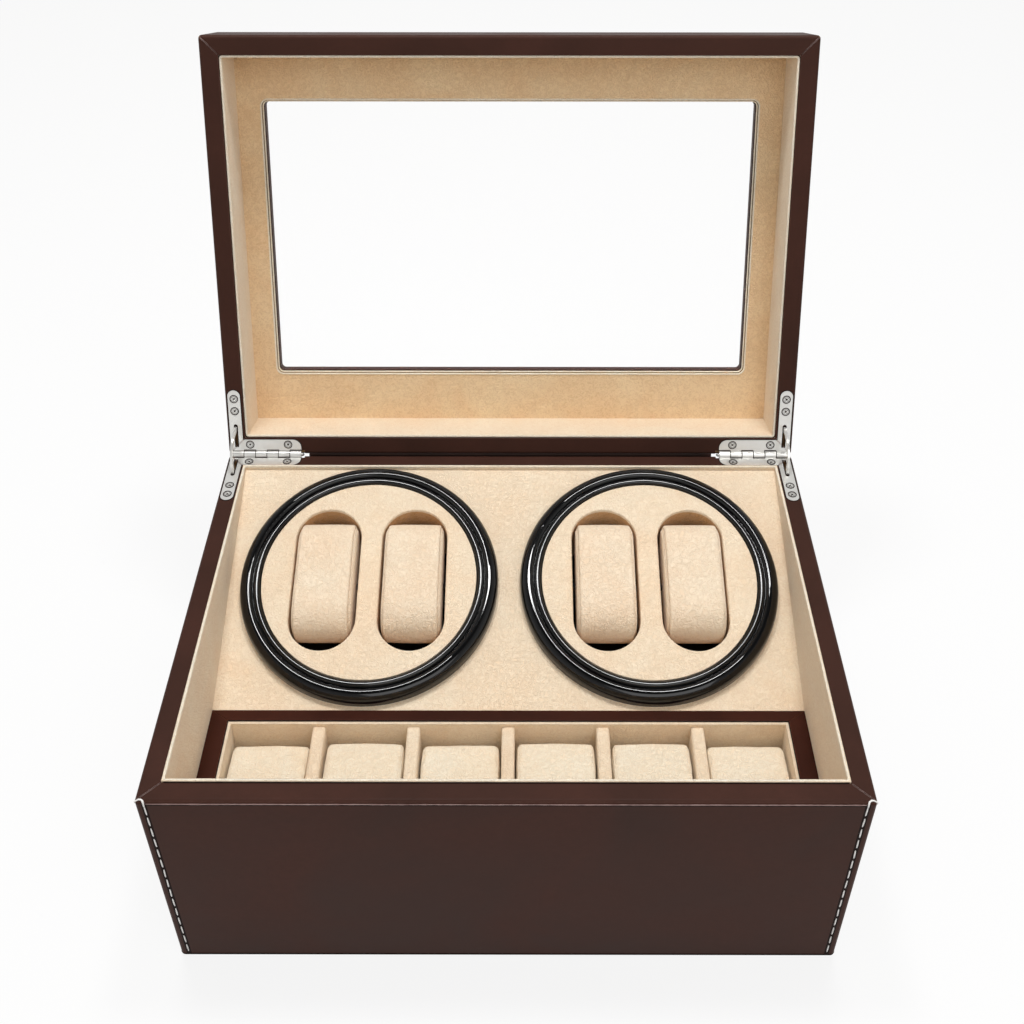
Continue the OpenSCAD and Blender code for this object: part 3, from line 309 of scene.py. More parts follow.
def metal(name, base, dark, rough, plating=1.0):
    """Plated or turned metal with fine directional marks and dulled patches."""
    m = Mat(name, Metallic=plating)
    brush = m.noise(900.0, 3.0, 0.6, 0.0, m.stretch((1.0, 1.0, 14.0)))
    cloud = m.noise(120.0, 3.0, 0.55, 0.5)
    colour = m.mix(m.fit(cloud, 0.3, 0.75, 0.0, 0.6), base, dark)
    return m.set(
        Base_Color=colour,
        Roughness=m.fit(brush, 0.3, 0.7, rough - 0.05, rough + 0.09),
        Normal=m.bump(brush, 0.06, 0.00006, m.round_edges(0.0003)),
    ).m


def circuit(name):
    """Green solder mask with copper tracks and pads under it."""
    m = Mat(name, Specular_IOR_Level=0.5)
    tracks = m.cells(260.0, 0.35)
    line = m.fit(tracks, 0.05, 0.09)
    grain = m.noise(2000.0, 2.0)
    colour = m.mix(line, srgb(70, 128, 74), srgb(24, 78, 46))
    return m.set(
        Base_Color=colour,
        Roughness=m.fit(grain, 0.3, 0.7, 0.28, 0.42),
        Normal=m.bump(line, 0.2, 0.00005),
    ).m


def clear_sheet(name):
    """Clear acrylic: wipe marks only change its gloss, and light passes it."""
    m = Mat(
        name,
        Base_Color=(1, 1, 1, 1),
        Transmission_Weight=1.0,
        IOR=1.12,
        Specular_IOR_Level=0.5,
    )
    wipe = m.noise(40.0, 3.0, 0.5, 0.0, m.stretch((1.0, 6.0, 1.0)))
    m.set(Roughness=m.fit(wipe, 0.3, 0.8, 0.0, 0.015))
    light = m.node("ShaderNodeLightPath")
    clear = m.node("ShaderNodeBsdfTransparent")
    both = m.node("ShaderNodeMixShader")
    out = m.t.nodes["Material Output"]
    m.t.links.new(light.outputs["Is Shadow Ray"], both.inputs[0])
    m.t.links.new(m.b.outputs[0], both.inputs[1])
    m.t.links.new(clear.outputs[0], both.inputs[2])
    m.t.links.new(both.outputs[0], out.inputs["Surface"])
    return m.m


def thread(name):
    """Twisted white polyester thread."""
    m = Mat(name, Specular_IOR_Level=0.25, Sheen_Weight=0.3)
    twist = m.noise(2600.0, 2.0, 0.6, 0.0, m.stretch((1.0, 1.0, 0.3)))
    colour = m.mix(twist, srgb(244, 241, 236), srgb(255, 254, 252))
    return m.set(
        Base_Color=colour,
        Roughness=m.fit(twist, 0.3, 0.7, 0.6, 0.8),
        Normal=m.bump(twist, 0.5, 0.0001),
    ).m


LEATHER = leather(
    "leatherette_brown", srgb(73, 45, 37), srgb(60, 38, 31), srgb(106, 77, 68)
)
TRAY_LEATHER = leather(
    "leatherette_tray", srgb(70, 34, 23), srgb(52, 25, 17), srgb(112, 68, 52), 0.40
)
# Dark leatherette for painted shade: lines laid in grooves, gaps and joints where shade falls
LEATHER_SHADE = leather(
    "leatherette_painted_shade", srgb(38, 24, 20), srgb(24, 15, 12), srgb(50, 34, 30), 0.6
)
LEATHER_EDGE = leather(
    "leatherette_cut_edge",
    srgb(150, 122, 118),
    srgb(104, 76, 72),
    srgb(190, 166, 160),
    0.5,
)
VELVET = velvet(
    "velvet_beige", srgb(250, 226, 196), srgb(224, 192, 154), srgb(253, 236, 210)
)
VELVET_TAN = velvet(
    "velvet_tan", srgb(241, 206, 163), srgb(196, 156, 111), srgb(247, 220, 180), 430.0
)
CUSHION = velvet(
    "velvet_cushion", srgb(255, 238, 211), srgb(236, 207, 170), srgb(255, 245, 224)
)
VELVET_CUFF = velvet(
    "velvet_cuff", srgb(250, 225, 196), srgb(221, 188, 150), srgb(253, 236, 211), 400.0
)
# Darker tan velvet: painted shade on the slots' walls
VELVET_SLOT_SHADE = velvet(
    "velvet_slot_painted_shade", srgb(210, 158, 102), srgb(166, 114, 64), srgb(222, 180, 130), 430.0
)
# Paler velvet for turned edges: a painted highlight
VELVET_HIGHLIGHT = velvet(
    "velvet_edge_painted_highlight", srgb(253, 240, 218), srgb(236, 212, 180), srgb(255, 248, 232)
)
MDF = board("mdf_raw")
FELT = felt("felt_black")
GLOSS = gloss_black("abs_gloss_black")
BLACK = moulded("plastic_black", srgb(22, 22, 23), srgb(34, 34, 35))
GREY = moulded("plastic_grey", srgb(84, 87, 92), srgb(104, 107, 112))
WHITE = moulded("plastic_white", srgb(216, 214, 204), srgb(230, 228, 220), 0.42)
NICKEL = metal(
    "nickel_plate", srgb(248, 247, 243), srgb(228, 226, 221), 0.17, plating=0.6
)
STEEL = metal("motor_steel", srgb(190, 190, 188), srgb(150, 150, 148), 0.34)
BRASS = metal("brass_turned", srgb(206, 172, 100), srgb(168, 134, 72), 0.28)
BOARD_GREEN = circuit("circuit_board")
PANE = clear_sheet("window_acrylic")
THREAD = thread("thread_white")

FINISH = {
    MDF: "floor_board front_board rear_board left_board right_board lid_side_boards "
    "lid_cross_boards lid_top_frame support_battens",
    LEATHER: "base_wrap lid_wrap",
    TRAY_LEATHER: "tray_frame",
    FELT: "bottom_felt",
    VELVET: "base_lining winder_deck tray_lining tray_dividers lid_lining "
    "left_turntable_disc right_turntable_disc",
    VELVET_TAN: "lid_ceiling",
    CUSHION: "left_cuff_outer left_cuff_inner right_cuff_inner right_cuff_outer "
    "pillow_1 pillow_2 pillow_3 pillow_4 pillow_5 pillow_6",
    GLOSS: "left_bezel_ring right_bezel_ring",
    BLACK: "left_turntable_cups right_turntable_cups power_inlet mode_switch_body",
    WHITE: "left_turntable_gear right_turntable_gear left_motor_pinion "
    "right_motor_pinion mode_switch_knob",
    GREY: "left_motor_bracket right_motor_bracket",
    STEEL: "left_gearmotor right_gearmotor hinge_pins",
    BRASS: "axle_bushes",
    BOARD_GREEN: "control_board",
    NICKEL: "left_base_leaf right_base_leaf base_hinge_screws left_lid_leaf "
    "right_lid_leaf lid_hinge_screws left_stay right_stay",
    PANE: "window_pane",
}
for finish, names in FINISH.items():
    for n in names.split():
        NODES[n].data.materials.clear()
        NODES[n].data.materials.append(finish)

# ---------- Studio ----------

IMAGE_PX, SENSOR = 1024, 36.0
FOCAL_PX = 1282.86  # fitted to landmarks of the photograph
CENTRE_PX = (520.59, 409.5)  # where the photograph's optical axis meets it
CAMERA_TILT = 38.49  # degrees below the horizon

scene = bpy.context.scene
scene.view_settings.view_transform = "Standard"

cam_data = bpy.data.cameras.new("camera")
cam_data.sensor_width = SENSOR
cam_data.lens = FOCAL_PX / IMAGE_PX * SENSOR
cam_data.shift_x = (IMAGE_PX / 2 - CENTRE_PX[0]) / IMAGE_PX
cam_data.shift_y = (CENTRE_PX[1] - IMAGE_PX / 2) / IMAGE_PX
cam_data.clip_start, cam_data.clip_end = 0.01, 50.0
cam = bpy.data.objects.new("camera", cam_data)
cam.location = (0.00721, -0.46115, 0.62876)
cam.rotation_euler = (math.radians(90 - CAMERA_TILT), 0.0, math.radians(0.1))
scene.collection.objects.link(cam)
scene.camera = cam


def seen_as_backdrop(tree):
    """1 for camera, glossy and transmission rays, else 0."""
    light = tree.nodes.new("ShaderNodeLightPath")
    total = None
    for ray in ("Is Camera Ray", "Is Glossy Ray", "Is Transmission Ray"):
        if total is None:
            total = light.outputs[ray]
            continue
        most = tree.nodes.new("ShaderNodeMath")
        most.operation = "MAXIMUM"
        tree.links.new(total, most.inputs[0])
        tree.links.new(light.outputs[ray], most.inputs[1])
        total = most.outputs[0]
    return total


world = bpy.data.worlds.new("studio")
scene.world = world
world.use_nodes = True
sky = world.node_tree
join = sky.links.new
soft_light = sky.nodes["Background"]
soft_light.inputs["Color"].default_value = (1.0, 0.985, 0.965, 1)
soft_light.inputs["Strength"].default_value = 0.38
backdrop = sky.nodes.new("ShaderNodeBackground")
backdrop.inputs["Color"].default_value = (0.985, 0.985, 0.985, 1)
either = sky.nodes.new("ShaderNodeMixShader")
join(seen_as_backdrop(sky), either.inputs[0])
join(soft_light.outputs[0], either.inputs[1])
join(backdrop.outputs[0], either.inputs[2])
# Mirrors see the pale backdrop low down, a dimmer studio ceiling above it, dark overhead
way = sky.nodes.new("ShaderNodeTexCoord")
split = sky.nodes.new("ShaderNodeSeparateXYZ")
join(way.outputs["Generated"], split.inputs[0])
shade = sky.nodes.new("ShaderNodeMath")
shade.operation = "MULTIPLY"
for slot, low, high, bright, dark in ((0, 0.15, 0.8, 0.9, 0.42), (1, 0.8, 0.93, 1.0, 0.07)):
    fade = sky.nodes.new("ShaderNodeMapRange")
    fade.inputs["From Min"].default_value = low
    fade.inputs["From Max"].default_value = high
    fade.inputs["To Min"].default_value = bright
    fade.inputs["To Max"].default_value = dark
    join(split.outputs["Z"], fade.inputs["Value"])
    join(fade.outputs[0], shade.inputs[slot])
mirrored = sky.nodes.new("ShaderNodeBackground")
join(shade.outputs[0], mirrored.inputs["Strength"])
ray = sky.nodes.new("ShaderNodeLightPath")
last = sky.nodes.new("ShaderNodeMixShader")
join(ray.outputs["Is Glossy Ray"], last.inputs[0])
join(either.outputs[0], last.inputs[1])
join(mirrored.outputs[0], last.inputs[2])
join(last.outputs[0], sky.nodes["World Output"].inputs["Surface"])


def lamp(name, place, aim, size, power):
    """A white area lamp of this size in metres and power in watts, aimed at a point."""
    data = bpy.data.lights.new(name, "AREA")
    data.shape = "RECTANGLE"
    data.size, data.size_y = size
    data.energy = power
    o = bpy.data.objects.new(name, data)
    o.location = place
    o.rotation_euler = (Vector(aim) - Vector(place)).to_track_quat("-Z", "Y").to_euler()
    scene.collection.objects.link(o)


KEY_SIZE, KEY_POWER = (0.24, 0.24), 7.5
FILL_SIZE, FILL_POWER = (1.2, 0.9), 6.0
# Two keys stand where each bezel ring mirrors the camera, so their light draws its crest
for side, x in (("left", -0.262), ("right", 0.231)):
    lamp(f"overhead_key_{side}", (x, 0.261, 1.66), (0, 0.02, 0.11), KEY_SIZE, KEY_POWER)
lamp("front_fill", (0.35, -1.1, 1.35), (0, 0.05, 0.12), FILL_SIZE, FILL_POWER)


def floor_material():
    """A pale floor that reads as the white backdrop and keeps the object's shadow."""
    mat = bpy.data.materials.new("studio_floor")
    mat.use_nodes = True
    t = mat.node_tree
    t.nodes.remove(t.nodes["Principled BSDF"])
    grain = t.nodes.new("ShaderNodeTexNoise")
    grain.inputs["Scale"].default_value = 60.0
    tone = t.nodes.new("ShaderNodeMapRange")
    tone.inputs["To Min"].default_value, tone.inputs["To Max"].default_value = 0.80, 0.84
    t.links.new(grain.outputs["Fac"], tone.inputs["Value"])
    lit = t.nodes.new("ShaderNodeBsdfDiffuse")
    t.links.new(tone.outputs[0], lit.inputs["Color"])
    dim = t.nodes.new("ShaderNodeBsdfDiffuse")
    dim.inputs["Color"].default_value = (0.15, 0.15, 0.15, 1)
    glow = t.nodes.new("ShaderNodeEmission")
    glow.inputs["Strength"].default_value = 0.845
    shown = t.nodes.new("ShaderNodeAddShader")
    t.links.new(dim.outputs[0], shown.inputs[0])
    t.links.new(glow.outputs[0], shown.inputs[1])
    pick = t.nodes.new("ShaderNodeMixShader")
    t.links.new(seen_as_backdrop(t), pick.inputs[0])
    t.links.new(lit.outputs[0], pick.inputs[1])
    t.links.new(shown.outputs[0], pick.inputs[2])
    t.links.new(pick.outputs[0], t.nodes["Material Output"].inputs["Surface"])
    return mat


floor_mesh = bpy.data.meshes.new("studio_floor")
floor_mesh.from_pydata(
    [(-6, -6, 0), (6, -6, 0), (6, 6, 0), (-6, 6, 0)], [], [(0, 1, 2, 3)]
)
floor = bpy.data.objects.new("studio_floor", floor_mesh)
floor_mesh.materials.append(floor_material())
scene.collection.objects.link(floor)

# ---------- Mesh helpers ----------


def tube(points, radius, sides=8, closed=False):
    """A round bead swept along points, as (vertices, faces).

    radius is one number, or one for each point.
    """
    pts = [Vector(p) for p in points]
    n = len(pts)
    rad = radius if hasattr(radius, "__len__") else [radius] * n
    verts, faces, up = [], [], None
    for i, p in enumerate(pts):
        before = pts[i - 1] if closed or i else p
        after = pts[(i + 1) % n] if closed or i < n - 1 else p
        way = (after - before).normalized()
        up = way.orthogonal() if up is None else up - way * up.dot(way)
        up.normalize()
        side = way.cross(up)
        for k in range(sides):
            a = 2 * math.pi * k / sides
            verts.append(p + (up * math.cos(a) + side * math.sin(a)) * rad[i])
    for i in range(n if closed else n - 1):
        j = (i + 1) % n
        for k in range(sides):
            m = (k + 1) % sides
            faces.append((i * sides + k, i * sides + m, j * sides + m, j * sides + k))
    if not closed:
        faces.append(tuple(range(sides - 1, -1, -1)))
        faces.append(tuple((n - 1) * sides + k for k in range(sides)))
    return verts, faces


def grid(rows, wrap=False, caps=False):
    """Faces between rows of points, all rows of one length.

    wrap joins each row's ends; caps closes the first and last row.
    """
    verts = [Vector(p) for row in rows for p in row]
    n = len(rows[0])
    faces = []
    for i in range(len(rows) - 1):
        for k in range(n if wrap else n - 1):
            m = (k + 1) % n
            faces.append((i * n + k, i * n + m, (i + 1) * n + m, (i + 1) * n + k))
    if caps:
        faces.append(tuple(range(n - 1, -1, -1)))
        faces.append(tuple((len(rows) - 1) * n + k for k in range(n)))
    return verts, faces


def piece(name, parts, material, body, place=None, smooth=True, subdivide=0):
    """One object out of (vertices, faces) parts, riding on a body."""
    verts, faces = [], []
    for v, f in parts:
        faces += [tuple(i + len(verts) for i in face) for face in f]
        verts += [place @ Vector(p) if place else Vector(p) for p in v]
    mesh = bpy.data.meshes.new(name)
    mesh.from_pydata(verts, [], faces)
    mesh.validate()
    mesh.update()
    mesh.polygons.foreach_set("use_smooth", [smooth] * len(mesh.polygons))
    for m in material if isinstance(material, (list, tuple)) else [material]:
        mesh.materials.append(m)
    o = bpy.data.objects.new(name, mesh)
    scene.collection.objects.link(o)
    if subdivide:
        mod = o.modifiers.new("round", "SUBSURF")
        mod.levels = mod.render_levels = subdivide
    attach(o, body)
    return o


def stadium(length, width, inset=0.0, turns=14, sides=9):
    """A loop round a long oblong with round ends: points and outward normals.

    Its length is along the first axis.
    """
    r, half = width / 2, (length - width) / 2
    pts = []
    for end in (1, -1):
        for k in range(turns + 1):
            a = (-0.5 + k / turns) * math.pi + (0 if end > 0 else math.pi)
            pts.append((end * half, math.cos(a), math.sin(a)))
        for k in range(1, sides):
            pts.append((end * half * (1 - 2 * k / sides), 0.0, end * 1.0))
    return [(c + nx * (r - inset), ny * (r - inset), nx, ny) for c, nx, ny in pts]


def pill_loop(length, width, grow=0.0):
    """Points round a pill-shaped slot, its length along Y, grown outward."""
    return [(y, x) for x, y, _, _ in stadium(length, width, -grow, 24, 8)]


def edge_trim(name, parts, material, body="case", place=None):
    """A thin piece of leatherette trim."""
    piece(name, parts, material, body, place)


def stitches(a, b, normal, pitch, length, radius, seed):
    """A run of raised thread dashes from a to b on a surface with this normal."""
    a, b, normal = Vector(a), Vector(b), Vector(normal)
    rng = random.Random(seed)
    along = (b - a).normalized()
    across = along.cross(normal)
    count = max(1, round((b - a).length / pitch))
    step = (b - a).length / count
    parts = []
    for i in range(count):
        s0 = i * step + (step - length) / 2
        lean = rng.uniform(-0.12, 0.12) * MM
        pts, rad = [], []
        for k in range(9):
            u = k / 8
            rise = math.sin(math.pi * u) ** 0.45 * 0.55 * radius - 0.45 * radius
            pts.append(
                a + along * (s0 + u * length) + normal * rise + across * lean * (2 * u - 1)
            )
            rad.append(radius * (0.72 + 0.28 * math.sin(math.pi * u) ** 0.5))
        parts.append(tube(pts, rad, 8))
    return parts


def round_loop(w, d, r, steps=6):
    """A rectangle with round corners, as a loop of points."""
    out = []
    for cx, cy, a0 in (
        (w / 2 - r, d / 2 - r, 0),
        (r - w / 2, d / 2 - r, 90),
        (r - w / 2, r - d / 2, 180),
        (w / 2 - r, r - d / 2, 270),
    ):
        for k in range(steps + 1):
            a = math.radians(a0 + 90 * k / steps)
            out.append((cx + r * math.cos(a), cy + r * math.sin(a)))
    return out


# ---------- Cuffs: a velvet band round a foam core, with a soft cheek on each side ----------


def wobble(seed, size):
    """A smooth repeatable unevenness of a few waves."""
    rng = random.Random(seed)
    waves = [
        (
            Vector([rng.uniform(-1, 1) for _ in range(3)]).normalized()
            * rng.uniform(90, 260),
            rng.uniform(0, 6.3),
            rng.uniform(0.4, 1.0),
        )
        for _ in range(7)
    ]
    return lambda p: size * sum(h * math.sin(w.dot(p) + f) for w, f, h in waves) / 3


def cuff(name, node, side, slot, seed):
    """A cuff in its slot: its band, then on each side a cheek, a welt and a peg."""
    uneven = wobble(seed, 0.16 * MM)
    half, r = BAND_W / 2, 1.3 * MM
    section = [(half - 1.2 * MM, 4.6 * MM), (half - 0.35 * MM, 3.4 * MM)]
    for k in range(6):
        a = math.pi / 2 * k / 5
        section.append(
            (half - r + r * math.cos(a), r - r * math.sin(a) + 0.30 * MM)
        )
    for k in range(1, 7):
        x = (half - r) * (1 - k / 6)
        section.append((x, 0.30 * MM * (x / half) ** 2))
    section += [(-x, d) for x, d in reversed(section[:-1])]
    rows = []
    for x, inset in section:
        row = []
        for y, z, ny, nz in stadium(CUFF_L, CUFF_T, inset):
            p = Vector((x, y, z))
            row.append(p - Vector((0, ny, nz)) * abs(uneven(p)))
        rows.append(row)
    band = grid(rows, wrap=True)
    parts = [band]
    for way in (-1, 1):
        cheek = []
        for d, out in (
            (0.0, -1.4),
            (0.0, 0.50),
            (0.25, 1.00),
            (0.8, 1.28),
            (2.0, 1.38),
            (5.0, 1.44),
            (9.0, 1.47),
            (12.6, 1.50),
        ):
            row = [
                Vector((way * (half + out * MM), y, z))
                for y, z, _, _ in stadium(PLATE_L, PLATE_T, d * MM)
            ]
            cheek.append(row if way > 0 else row[::-1])
        parts.append(grid(cheek, wrap=True, caps=True))
        parts.append(
            tube(
                [
                    (way * (half + 0.25 * MM), y, z)
                    for y, z, _, _ in stadium(PLATE_L, PLATE_T, -0.45 * MM)
                ],
                0.42 * MM,
                8,
                closed=True,
            )
        )
        parts.append(
            tube(
                [
                    (way * (PLATE_W / 2 + x * MM), 0.0, -5.0 * MM)
                    for x in (-0.35, 0.85, 1.35, 1.5)
                ],
                [2.0 * MM, 2.0 * MM, 1.7 * MM, 1.0 * MM],
                16,
            )
        )
    place = at_table(side) @ Matrix.Translation((slot * SLOT_X, CUFF_SHIFT, CUFF_MID))
    o = piece(name, parts, [VELVET_CUFF, BLACK], node, place)
    first = len(band[1])
    per_side = (len(o.data.polygons) - first) // 2
    peg = len(parts[-1][1])
    for i, poly in enumerate(o.data.polygons):
        if i >= first and (i - first) % per_side >= per_side - peg:
            poly.material_index = 1
    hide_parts(node)


for name, node, side, slot in (
    ("left_outer_cuff_pad", "left_cuff_outer", -1, -1),
    ("left_inner_cuff_pad", "left_cuff_inner", -1, 1),
    ("right_inner_cuff_pad", "right_cuff_inner", 1, -1),
    ("right_outer_cuff_pad", "right_cuff_outer", 1, 1),
):
    cuff(name, node, side, slot, 11 + 5 * slot + side)

# ---------- Pillows: stuffed velvet blocks with a welt round each side panel ----------


def pillow_form(w, d, h, r, crown, cuts=20):
    """A closed soft block about the origin, with round edges of radius r.

    Its top falls by crown towards its sides and ends.
    """
    mesh = bpy.data.meshes.new("pillow_form")
    verts, faces, index = [], [], {}
    half = Vector((w / 2, d / 2, h / 2))

    def vertex(u):
        p = Vector([c * b for c, b in zip(u, half)])
        core = Vector([max(r - b, min(b - r, c)) for c, b in zip(p, half)])
        p = core + (p - core).normalized() * r
        if p.z > 0:
            drop = 0.2 * (p.x / half.x) ** 2 + 0.8 * (p.y / half.y) ** 2
            p.z -= crown * drop * p.z / half.z
        key = tuple(round(c, 6) for c in p)
        if key not in index:
            index[key] = len(verts)
            verts.append(p)
        return index[key]

    for axis in range(3):
        for s in (-1, 1):
            for i in range(cuts):
                for j in range(cuts):
                    quad = []
                    for a, b in ((i, j), (i + 1, j), (i + 1, j + 1), (i, j + 1)):
                        q = [0.0] * 3
                        q[axis] = s
                        q[(axis + 1) % 3] = 2 * a / cuts - 1
                        q[(axis + 2) % 3] = 2 * b / cuts - 1
                        quad.append(vertex(q))
                    faces.append(tuple(quad if s > 0 else quad[::-1]))
    mesh.from_pydata(verts, [], faces)
    mesh.update()
    return mesh


def inflate(mesh, voxel, cap):
    """Voxel remesh, then cloth with pressure and no gravity; no point may move further than cap."""
    o = bpy.data.objects.new("pillow_cloth", mesh)
    scene.collection.objects.link(o)
    bpy.context.view_layer.objects.active = o
    o.select_set(True)
    remesh = o.modifiers.new("voxel", "REMESH")
    remesh.mode, remesh.voxel_size = "VOXEL", voxel
    remesh.use_smooth_shade = True
    bpy.ops.object.modifier_apply(modifier="voxel")
    before = np.empty(len(o.data.vertices) * 3)
    o.data.vertices.foreach_get("co", before)
    cloth = o.modifiers.new("cloth", "CLOTH")
    s = cloth.settings
    s.quality = 6
    s.mass = 0.1
    s.use_pressure, s.uniform_pressure_force = True, 4.0
    s.tension_stiffness = s.compression_stiffness = 18.0
    s.shear_stiffness, s.bending_stiffness = 6.0, 0.6
    s.effector_weights.gravity = 0.0
    cloth.collision_settings.use_collision = False
    for f in range(1, 21):
        scene.frame_set(f)
    bpy.ops.object.modifier_apply(modifier="cloth")
    scene.frame_set(1)
    after = np.empty_like(before)
    o.data.vertices.foreach_get("co", after)
    move = (after - before).reshape(-1, 3)
    size = np.linalg.norm(move, axis=1, keepdims=True)
    move *= np.minimum(1, cap / np.maximum(size, 1e-9))
    made = (before.reshape(-1, 3) + move, [tuple(p.vertices) for p in o.data.polygons])
    bpy.data.objects.remove(o)
    return made


PILLOW_R, PILLOW_CROWN = 1.6 * MM, 3.9 * MM
VOXEL, CLOTH_CAP = 1.7 * MM, 0.5 * MM
PILLOW_SHY = 0.1 * MM  # how far the finished pillow stays inside the solid's box
WELT_R, WELT_IN = 0.32 * MM, 1.5 * MM
# How far each pillow is pressed down, in mm: evenly, and by a tilt that presses its left more
SUNK = ((2.0, 0.4), (0.0, 0.1), (1.3, 0.3), (0.1, -0.2), (0.0, 0.1), (1.8, 0.4))

lo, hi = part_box("pillow_1")
P_W, P_D, P_H = (hi[i] - lo[i] for i in range(3))
co, pillow_faces = inflate(
    pillow_form(P_W - 1.0 * MM, P_D - 1.2 * MM, P_H - 1.4 * MM, PILLOW_R, PILLOW_CROWN),
    VOXEL,
    CLOTH_CAP,
)
span = np.abs(co).max(axis=0)
co *= np.array([side / 2 - PILLOW_SHY for side in (P_W, P_D, P_H)]) / span
for n in range(1, 7):
    node = f"pillow_{n}"
    lo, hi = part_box(node)
    middle = (lo + hi) / 2
    uneven = wobble(30 + n, 0.22 * MM)
    flip = (1 if n % 2 else -1, 1 if n % 3 else -1, 1)
    verts = []
    for p in co:
        p = Vector([c * f for c, f in zip(p, flip)])
        p *= 1 - abs(uneven(p)) / (P_W / 2)
        mean, tilt = SUNK[n - 1]
        sink = (mean + tilt * (1 - p.x / P_W)) * MM
        p.z -= max(sink, 0) * (p.z / P_H + 0.5)
        verts.append(p)
    faces = [
        f if flip[0] * flip[1] > 0 else tuple(reversed(f)) for f in pillow_faces
    ]
    tree = BVHTree.FromPolygons(verts, faces)
    parts = [(verts, faces)]
    for way in (-1, 1):
        x = way * (P_W / 2 - WELT_IN)
        loop = []
        for k in range(72):
            a = 2 * math.pi * k / 72
            out = Vector((0, math.cos(a), math.sin(a)))
            hit = tree.ray_cast(Vector((x, 0, 0)), out)[0]
            loop.append(hit - out * 0.16 * MM)
        parts.append(tube(loop, WELT_R, 8, closed=True))
    pad = piece(
        f"storage_pillow_{n}",
        parts,
        CUSHION,
        node,
        Matrix.Translation(middle),
        subdivide=1,
    )
    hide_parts(node)

# ---------- Slots: the disc's velvet turned down into each cup ----------

face, bottom = DISC_H / MM, CUP_FLOOR / MM
for side, word in ((-1, "left"), (1, "right")):
    parts = []
    for slot in (-1, 1):
        rows = []
        for out, z in (
            (1.7, face - 0.06),
            (1.3, face + 0.10),
            (0.8, face + 0.20),
            (0.35, face + 0.12),
            (0.0, face - 0.15),
            (-0.22, face - 0.6),
            (-0.30, face - 1.6),
            (-0.30, -6.0),
            (-0.30, -18.0),
            (-0.34, bottom + 1.2),
            (-0.9, bottom + 0.5),
            (-2.2, bottom + 0.25),
            (-10.0, bottom + 0.3),
        ):
            rows.append(
                [
                    (x + slot * SLOT_X, y, z * MM)
                    for x, y in pill_loop(SLOT_L, SLOT_W, out * MM)
                ]
            )
        verts, faces = grid(rows, wrap=True)
        last = len(verts) - len(rows[0])
        parts.append((verts, faces + [tuple(range(last, len(verts)))]))
    lining = piece(
        f"{word}_slot_lining",
        parts,
        [VELVET, VELVET_SLOT_SHADE, FELT],
        f"{word}_turntable",
        at_table(side),
    )
    # The rolled edge is velvet; the upper wall is a darker velvet and the bottom black felt, both
    # painted shade
    ring = len(rows[0])
    per_slot = len(parts[0][1])
    for i, poly in enumerate(lining.data.polygons):
        row = (i % per_slot) // ring
        poly.material_index = 0 if row < 6 else 1 if row < 9 else 2

# ---------- Stitching, folded edges and mitre seams of the leatherette ----------

FRONT = -BOX_D / 2
STITCH_PITCH, STITCH_L, STITCH_R = 8.2 * MM, 6.5 * MM, 0.38 * MM
SEAM_IN = 4.3 * MM  # from the box's side to the stitches
FOLD_END = 5.2 * MM  # from the box's side to the front fold's end


def on_shell(x, y, z, lift=0.0):
    """The nearest point of the base's rounded outside, lifted off it."""
    p = Vector((x, y, z))
    q = Vector(
        (
            max(EDGE_R - BOX_W / 2, min(BOX_W / 2 - EDGE_R, x)),
            max(EDGE_R - BOX_D / 2, min(BOX_D / 2 - EDGE_R, y)),
            min(BASE_H - EDGE_R, z),
        )
    )
    return q + (p - q).normalized() * (EDGE_R + lift)


def strip(a, b, across, normal, width, lift):
    """A thin low band from a to b lying on a surface."""
    a, b, across, normal = Vector(a), Vector(b), Vector(across), Vector(normal)
    rows = []
    for u, h in ((-1.0, -0.4), (-0.8, 0.6), (0.0, 1.0), (0.8, 0.6), (1.0, -0.4)):
        off = across * (u * width / 2) + normal * (h * lift)
        rows.append([a + off, (a + b) / 2 + off, b + off])
    return grid(rows)


for side, word in ((-1, "left"), (1, "right")):
    x = side * (BOX_W / 2 - SEAM_IN)
    top, low = BASE_H - 2.6 * MM, 2.4 * MM
    run = stitches(
        (x, FRONT, top),
        (x, FRONT, low),
        (0, -1, 0),
        STITCH_PITCH,
        STITCH_L,
        STITCH_R,
        side + 5,
    )
    # The thread's last turn, over the top corner: outward from the seam, y and z, in mm
    path = [
        (0.0, -121.0, 128.6),
        (0.0, -121.0, 130.2),
        (0.1, -120.8, 131.6),
        (0.4, -120.2, 133.0),
        (1.2, -119.4, 133.4),
        (2.2, -119.2, 133.2),
        (3.3, -119.6, 132.9),
        (4.3, -119.8, 132.4),
        (5.0, -119.6, 131.2),
        (5.2, -119.2, 129.6),
    ]
    width = [0.34, 0.40, 0.44, 0.46, 0.44, 0.38, 0.34, 0.34, 0.36, 0.26]
    wrap = tube(
        [
            on_shell(x + side * px * MM, py * MM, pz * MM, 0.22 * MM)
            for px, py, pz in path
        ],
        [w * MM for w in width],
        10,
    )
    piece(f"{word}_corner_stitches", run + [wrap], THREAD, "case")
    # A band of dark leatherette under the stitches: painted shade in the stitch channel
    groove = strip(
        (x, FRONT, top + 1 * MM),
        (x, FRONT, low - 1 * MM),
        (1, 0, 0),
        (0, -1, 0),
        2.7 * MM,
        0.05 * MM,
    )
    edge_trim(f"{word}_stitch_channel_shade", [groove], LEATHER_SHADE)

